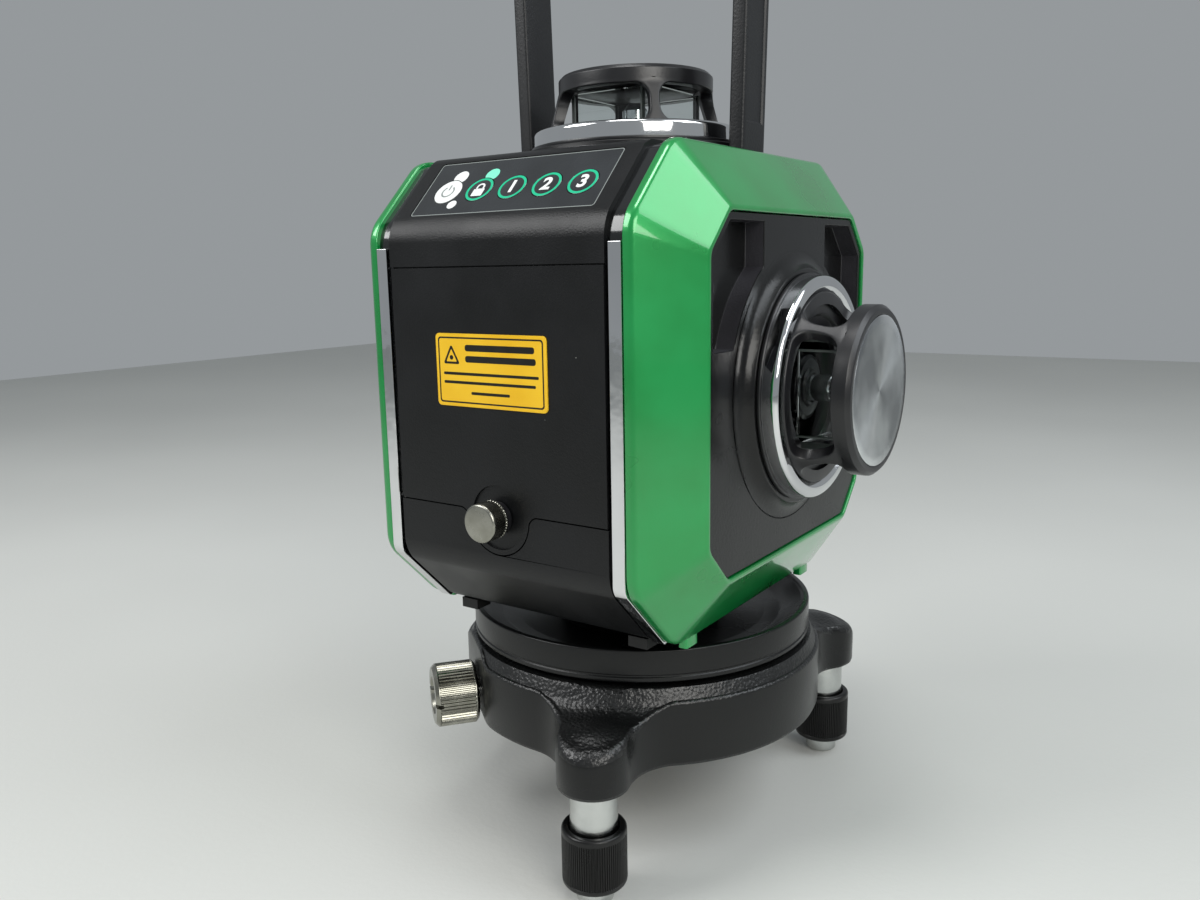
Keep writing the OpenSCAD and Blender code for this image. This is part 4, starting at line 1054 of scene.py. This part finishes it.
head = {"flange": 4.4, "collar": 32.6, "cage": 26.3, "bezel": 30.7, "bezelTop": 9.0, "cap": 23.0,
    "capZ": 20.2, "capT": 4.5, "disc": 20.3, "innerLow": 24.57, "innerTop": 18.9, "ribHalf": 3.3,
    "windowLow": 8.9, "windowTop": 19.7, "windowCorner": 4.2, "wallEase": 0.45, "barrel": 10.0, "foot": 4.0,
    "wallMean": 24.6, "wallThick": 3.5, "capOver": 0.8, "pane": 11.2, "paneReach": 15.2,
    "paneThick": 1.7, "paneLow": 7.6, "paneEdge": 0.5}
# each head's place, axis, how far its collar spreads, and how far in its barrel starts
heads = {"top": (Matrix.Translation((0, 0, body["top"])), "Z", 1.6, -33),
    "side": (Matrix.Translation((panelFace, headMiddle.y, headMiddle.z)) @ Matrix.Rotation(pi / 2, 4, "Y"),
    "X", 4.6, 8 - panelFace),
    "front": (Matrix.Translation((0, body["back"], headMiddle.z)) @ Matrix.Rotation(-pi / 2, 4, "X"),
    "Y", 1.6, 8 - body["back"])}


def outerWall(spec, z):
    if z <= spec["bezelTop"] - 0.4:
        return spec["cage"]
    w = (z - spec["bezelTop"] + 0.4) / (spec["capZ"] - spec["bezelTop"] + 0.4)
    return spec["cage"] + (spec["cap"] - spec["cage"]) * min(w, 1)


def innerWall(spec, z):
    w = (z - spec["foot"]) / (spec["capZ"] + spec["capOver"] - spec["foot"])
    return spec["innerLow"] + (spec["innerTop"] - spec["innerLow"]) * w


# a quarter of the cage wall with its rounded window, as rings from the window out to the quarter's edge
def windowQuarter(spec):
    middle = (spec["windowLow"] + spec["windowTop"]) / 2
    scale = spec["wallMean"]
    half = scale * radians(45 - spec["ribHalf"])
    edge = scale * radians(45)
    low, high = spec["foot"], spec["capZ"] + spec["capOver"]
    f, steps = spec["wallEase"], 7
    hole = roundCorners([(-half, spec["windowLow"]), (half, spec["windowLow"]), (half, spec["windowTop"]),
        (-half, spec["windowTop"])], spec["windowCorner"], steps)
    flat = []  # extra points along the long sides, so that the wall stays round
    for i, p in enumerate(hole):
        flat.append(p)
        q = hole[(i + 1) % len(hole)]
        if abs(q.x - p.x) > 6:
            flat += [p.lerp(q, k / 12) for k in range(1, 12)]
    hole = flat
    normals = []
    for i, p in enumerate(hole):
        along = hole[(i + 1) % len(hole)] - hole[i - 1]
        normals.append(Vector((along.y, -along.x)).normalized())

    def toEdge(p):
        d = Vector((p.x * (edge / half), p.y - middle))
        reachX = edge / abs(d.x) if d.x else 1e9
        reachY = (high - middle if d.y > 0 else middle - low) / abs(d.y) if d.y else 1e9
        s = min(reachX, reachY)
        return Vector((d.x * s, middle + d.y * s))

    border = [toEdge(p) for p in hole]

    def wall(line, t):
        ring = []
        for p in line:
            r = innerWall(spec, p.y) * (1 - t) + outerWall(spec, p.y) * t
            ring.append(polar(r, p.x / scale, p.y))
        return ring

    rings = [wall(border, 1), wall([p.lerp(b, 0.5) for p, b in zip(hole, border)], 1)]
    for a in (0, 30, 60, 90):
        spread, deep = f * (1 - sin(radians(a))), f / spec["wallThick"] * (1 - cos(radians(a)))
        rings.append(wall([p + n * spread for p, n in zip(hole, normals)], 1 - deep))
    return rings + [wall(hole, 0), wall(border, 0)]


def makeCage(name, place, node, spec):
    rings = windowQuarter(spec)
    solids = []
    for k in range(4):
        turn = place @ Matrix.Rotation(k * pi / 2, 4, "Z")
        solids.append(skin([[turn @ p for p in ring] for ring in rings], capped=False))
    angles = sorted({round(atan2(p.y, p.x) + k * pi / 2, 7) for ring in (rings[0], rings[-1]) for p in ring
        for k in range(4) if abs(p.z - spec["foot"]) < 1e-6})
    topAngles = sorted({round(atan2(p.y, p.x) + k * pi / 2, 7) for p in rings[0] for k in range(4)
        if abs(p.z - spec["capZ"] - spec["capOver"]) < 1e-6})
    joinAt = lambda line, angleSet: [[place @ polar(r, a, z) for a in angleSet]
        for r, z in line]
    zTop, zCap = spec["capZ"] + spec["capOver"], spec["capZ"] + spec["capT"]
    capLine = roundCorners([(spec["cap"], zTop), (spec["cap"], zCap - 1.1), (spec["cap"] - 1.1, zCap),
        (spec["disc"] + 0.1, zCap), (spec["disc"] + 0.1, zCap - 1.0), (0.01, zCap - 1.0)],
        [0, 0.35, 0.35, 0.2, 0, 0], 4, closed=False)
    solids.append(skin(joinAt(capLine, topAngles), capped=False))
    underLine = [(spec["innerTop"], zTop), (18.6, zTop - 0.2), (17.6, zTop - 1.0), (8, zTop - 1.9),
        (0.01, zTop - 2.4)]
    solids.append(skin(joinAt(underLine, topAngles), capped=False))
    footLine = [(spec["cage"], spec["foot"]), (spec["cage"], -2.0), (spec["innerLow"], -2.0),
        (spec["innerLow"], spec["foot"])]
    solids.append(skin(joinAt(footLine, angles), capped=False))
    ring = roundCorners([(spec["cage"] - 0.3, 3.5), (spec["bezel"] + 0.7, 3.5), (spec["bezel"] + 0.7, 4.4),
        (spec["cage"] - 0.3, 4.4)], 0.2, 3)
    solids.append(lathe(ring, place, 128))
    # the floor inside the cage steps down towards the barrel, and leaves room for its swing
    floorLine = roundCorners([(24.6, 3.2), (24.6, 7.6), (20.2, 7.6), (19.6, 6.4), (16.6, 6.4), (15.8, 5.4),
        (15.8, 3.2)], [0, 0, 0.5, 0.3, 0.5, 0, 0], 3)
    solids.append(lathe(floorLine, place, 96))
    fit(makeObject(name + "Cage", solids, satinAbs, 38), "head", "cage_black", node)


def makeBezel(name, place, node, spec):
    r, z0, z1 = spec["bezel"], spec["flange"], spec["bezelTop"]
    seat = spec["cage"] + 0.05
    side = roundCorners([(seat, z0), (r, z0), (r, z1), (r - 3.0, z1), (seat, z1 - 1.2)],
        [0, 0.2, 1.3, 0.5, 0], 8)
    fit(makeObject(name + "Bezel", [lathe(side, place, 192)], chromePlate), "head", "chrome", node)


def makeCollar(name, place, spread, spec):
    r = spec["collar"]
    side = [(spec["cage"] + 0.1, -0.5), (r + spread + 0.4, -0.5), (r + spread + 0.4, 0.0)]
    for k in range(11):
        a = pi / 2 * k / 10
        side.append((r + spread * (1 - sin(a)), 3.0 * (1 - cos(a))))
    side += [(r - 0.05, 3.15), (r - 0.25, 3.35), (spec["cage"] + 0.1, 3.35)]
    fit(makeObject(name + "Collar", [lathe(side, place, 160)], satinAbs, 40), "head", "cage_black")


def makeCap(name, place, axis, spec, first):
    z = spec["capZ"] + spec["capT"]
    r = spec["disc"]
    side = [(0.01, z - 0.9), (r, z - 0.9), (r, z - 0.1), (r - 0.12, z + 0.12), (r - 0.4, z + 0.25)]
    side += [(r * k / 8, z + 0.25 - 0.35 * (1 - (k / 8) ** 2)) for k in range(7, -1, -1)]  # faintly dished
    side[-1] = (0.01, side[-1][1])
    disc = makeObject(name + "CapDisc", [lathe(side, place, 160)], spunAluminium[axis], 30)
    fit(disc, "head", "cap_alu", *(["cap_discs"] if first else []))


def makeGlass(name, place, spec, first):
    pane, reach, thick, wide = spec["pane"], spec["paneReach"], spec["paneThick"], spec["paneEdge"]
    z0, z1 = spec["paneLow"], spec["capZ"] - 0.9
    panes, edges = [], []
    for k in range(4):
        turn = place @ Matrix.Rotation(k * pi / 2, 4, "Z")
        slab = [(reach - thick, -pane), (reach, -pane), (reach, pane), (reach - thick, pane)]
        panes.append(plate(slab, z0, z1, turn))
        for s in (-1, 1):
            strip = [(reach - thick, s * pane), (reach, s * pane), (reach, s * (pane + wide)),
                (reach - thick, s * (pane + wide))]
            edges.append(plate(strip, z0, z1, turn))
    fit(makeObject(name + "Glass", panes, floatGlass), "head", "glass", *(["head_windows"] if first else []))
    fit(makeObject(name + "GlassEdges", edges, groundGlass), "head", "glass")


def hexagon(radius, steps=24):
    line = []
    for k in range(steps):
        a = 2 * pi * k / steps
        r = radius * cos(pi / 6) / cos(a % (pi / 3) - pi / 6)
        line.append(Vector((r * cos(a), r * sin(a))))
    return line


# black laser barrels on the pendulum, each with socket set screws round its front step, and the short
# plumb barrel that points straight down
def makeBarrels(spec):
    barrels, screws = [], []
    for name, (place, _, _, inside) in heads.items():
        r = spec["barrel"] - (1.0 if name == "top" else 0)
        side = roundCorners([(0.01, inside), (r, inside), (r, 1.2), (r - 0.8, 1.8), (r - 0.8, 4.4),
            (r - 2.2, 5.0), (5.4, 5.0), (5.0, 5.9), (4.2, 5.9), (3.9, 5.3), (0.01, 5.3)],
            [0, 0.4, 0.3, 0.2, 0.5, 0.4, 0.3, 0.2, 0.2, 0.2, 0], 3)
        barrels.append(lathe(side, place, 96))
        for k in range(4):
            seat = place @ Matrix.Rotation(pi / 4 + k * pi / 2, 4, "Z") @ \
                Matrix.Translation((r - 0.9, 0, 3.1)) @ Matrix.Rotation(pi / 2, 4, "Y")
            screws.append(band(circle(1.15, steps=24), hexagon(0.62), -0.8, 0.35, seat))
            screws.append(lathe([(0.01, -0.8), (0.66, -0.8), (0.66, -0.5), (0.01, -0.5)], seat, 24))
    plumb = Matrix.Translation((0, 0, boxOf("laser_modules")[0].z))
    barrels.append(lathe([(0.01, 0), (3.4, 0), (4, 0.6), (4, 17), (0.01, 17)], plumb, 64))
    fit(makeObject("laserBarrels", barrels, anodised), "pendulum", "module_black", "laser_modules")
    fit(makeObject("setScrews", screws, turnedSteel), "pendulum", "module_black")


for name, (place, axis, spread, _) in heads.items():
    makeCollar(name, place, spread, head)
    makeCage(name, place, name + "_cage", head)
    makeBezel(name, place, name + "_bezel", head)
    makeCap(name, place, axis, head, name == "top")
    makeGlass(name, place, head, name == "top")
makeBarrels(head)
print("line heads made")

# ---- pieces that keep the frame's own shape

plain = {"tripod_bush": brass, "spindle_bush": brass, "thrust_washer": nylon, "knob_bush": brass,
    "fine_shaft": turnedSteel, "drive_roller": rubber, "turntable_spindle": turnedSteel,
    "spindle_nut": turnedSteel, "housing_feet": rubber, "housing_screws": turnedSteel,
    "screw_retainer": turnedSteel, "screw_insert": brass, "battery_pack": cellWrap,
    "circuit_boards": solderMask, "chassis": alloy, "gimbal_ring": alloy, "pendulum": alloy,
    "balance_weights": brass, "cone_prisms": silveredGlass,
    "damping_magnet": ferrite, "foot_spindle_1": turnedSteel, "foot_spindle_2": turnedSteel,
    "foot_spindle_3": turnedSteel}
for node, material in plain.items():
    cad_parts[node].data.materials.clear()
    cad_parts[node].data.materials.append(material)
print("plain pieces finished")
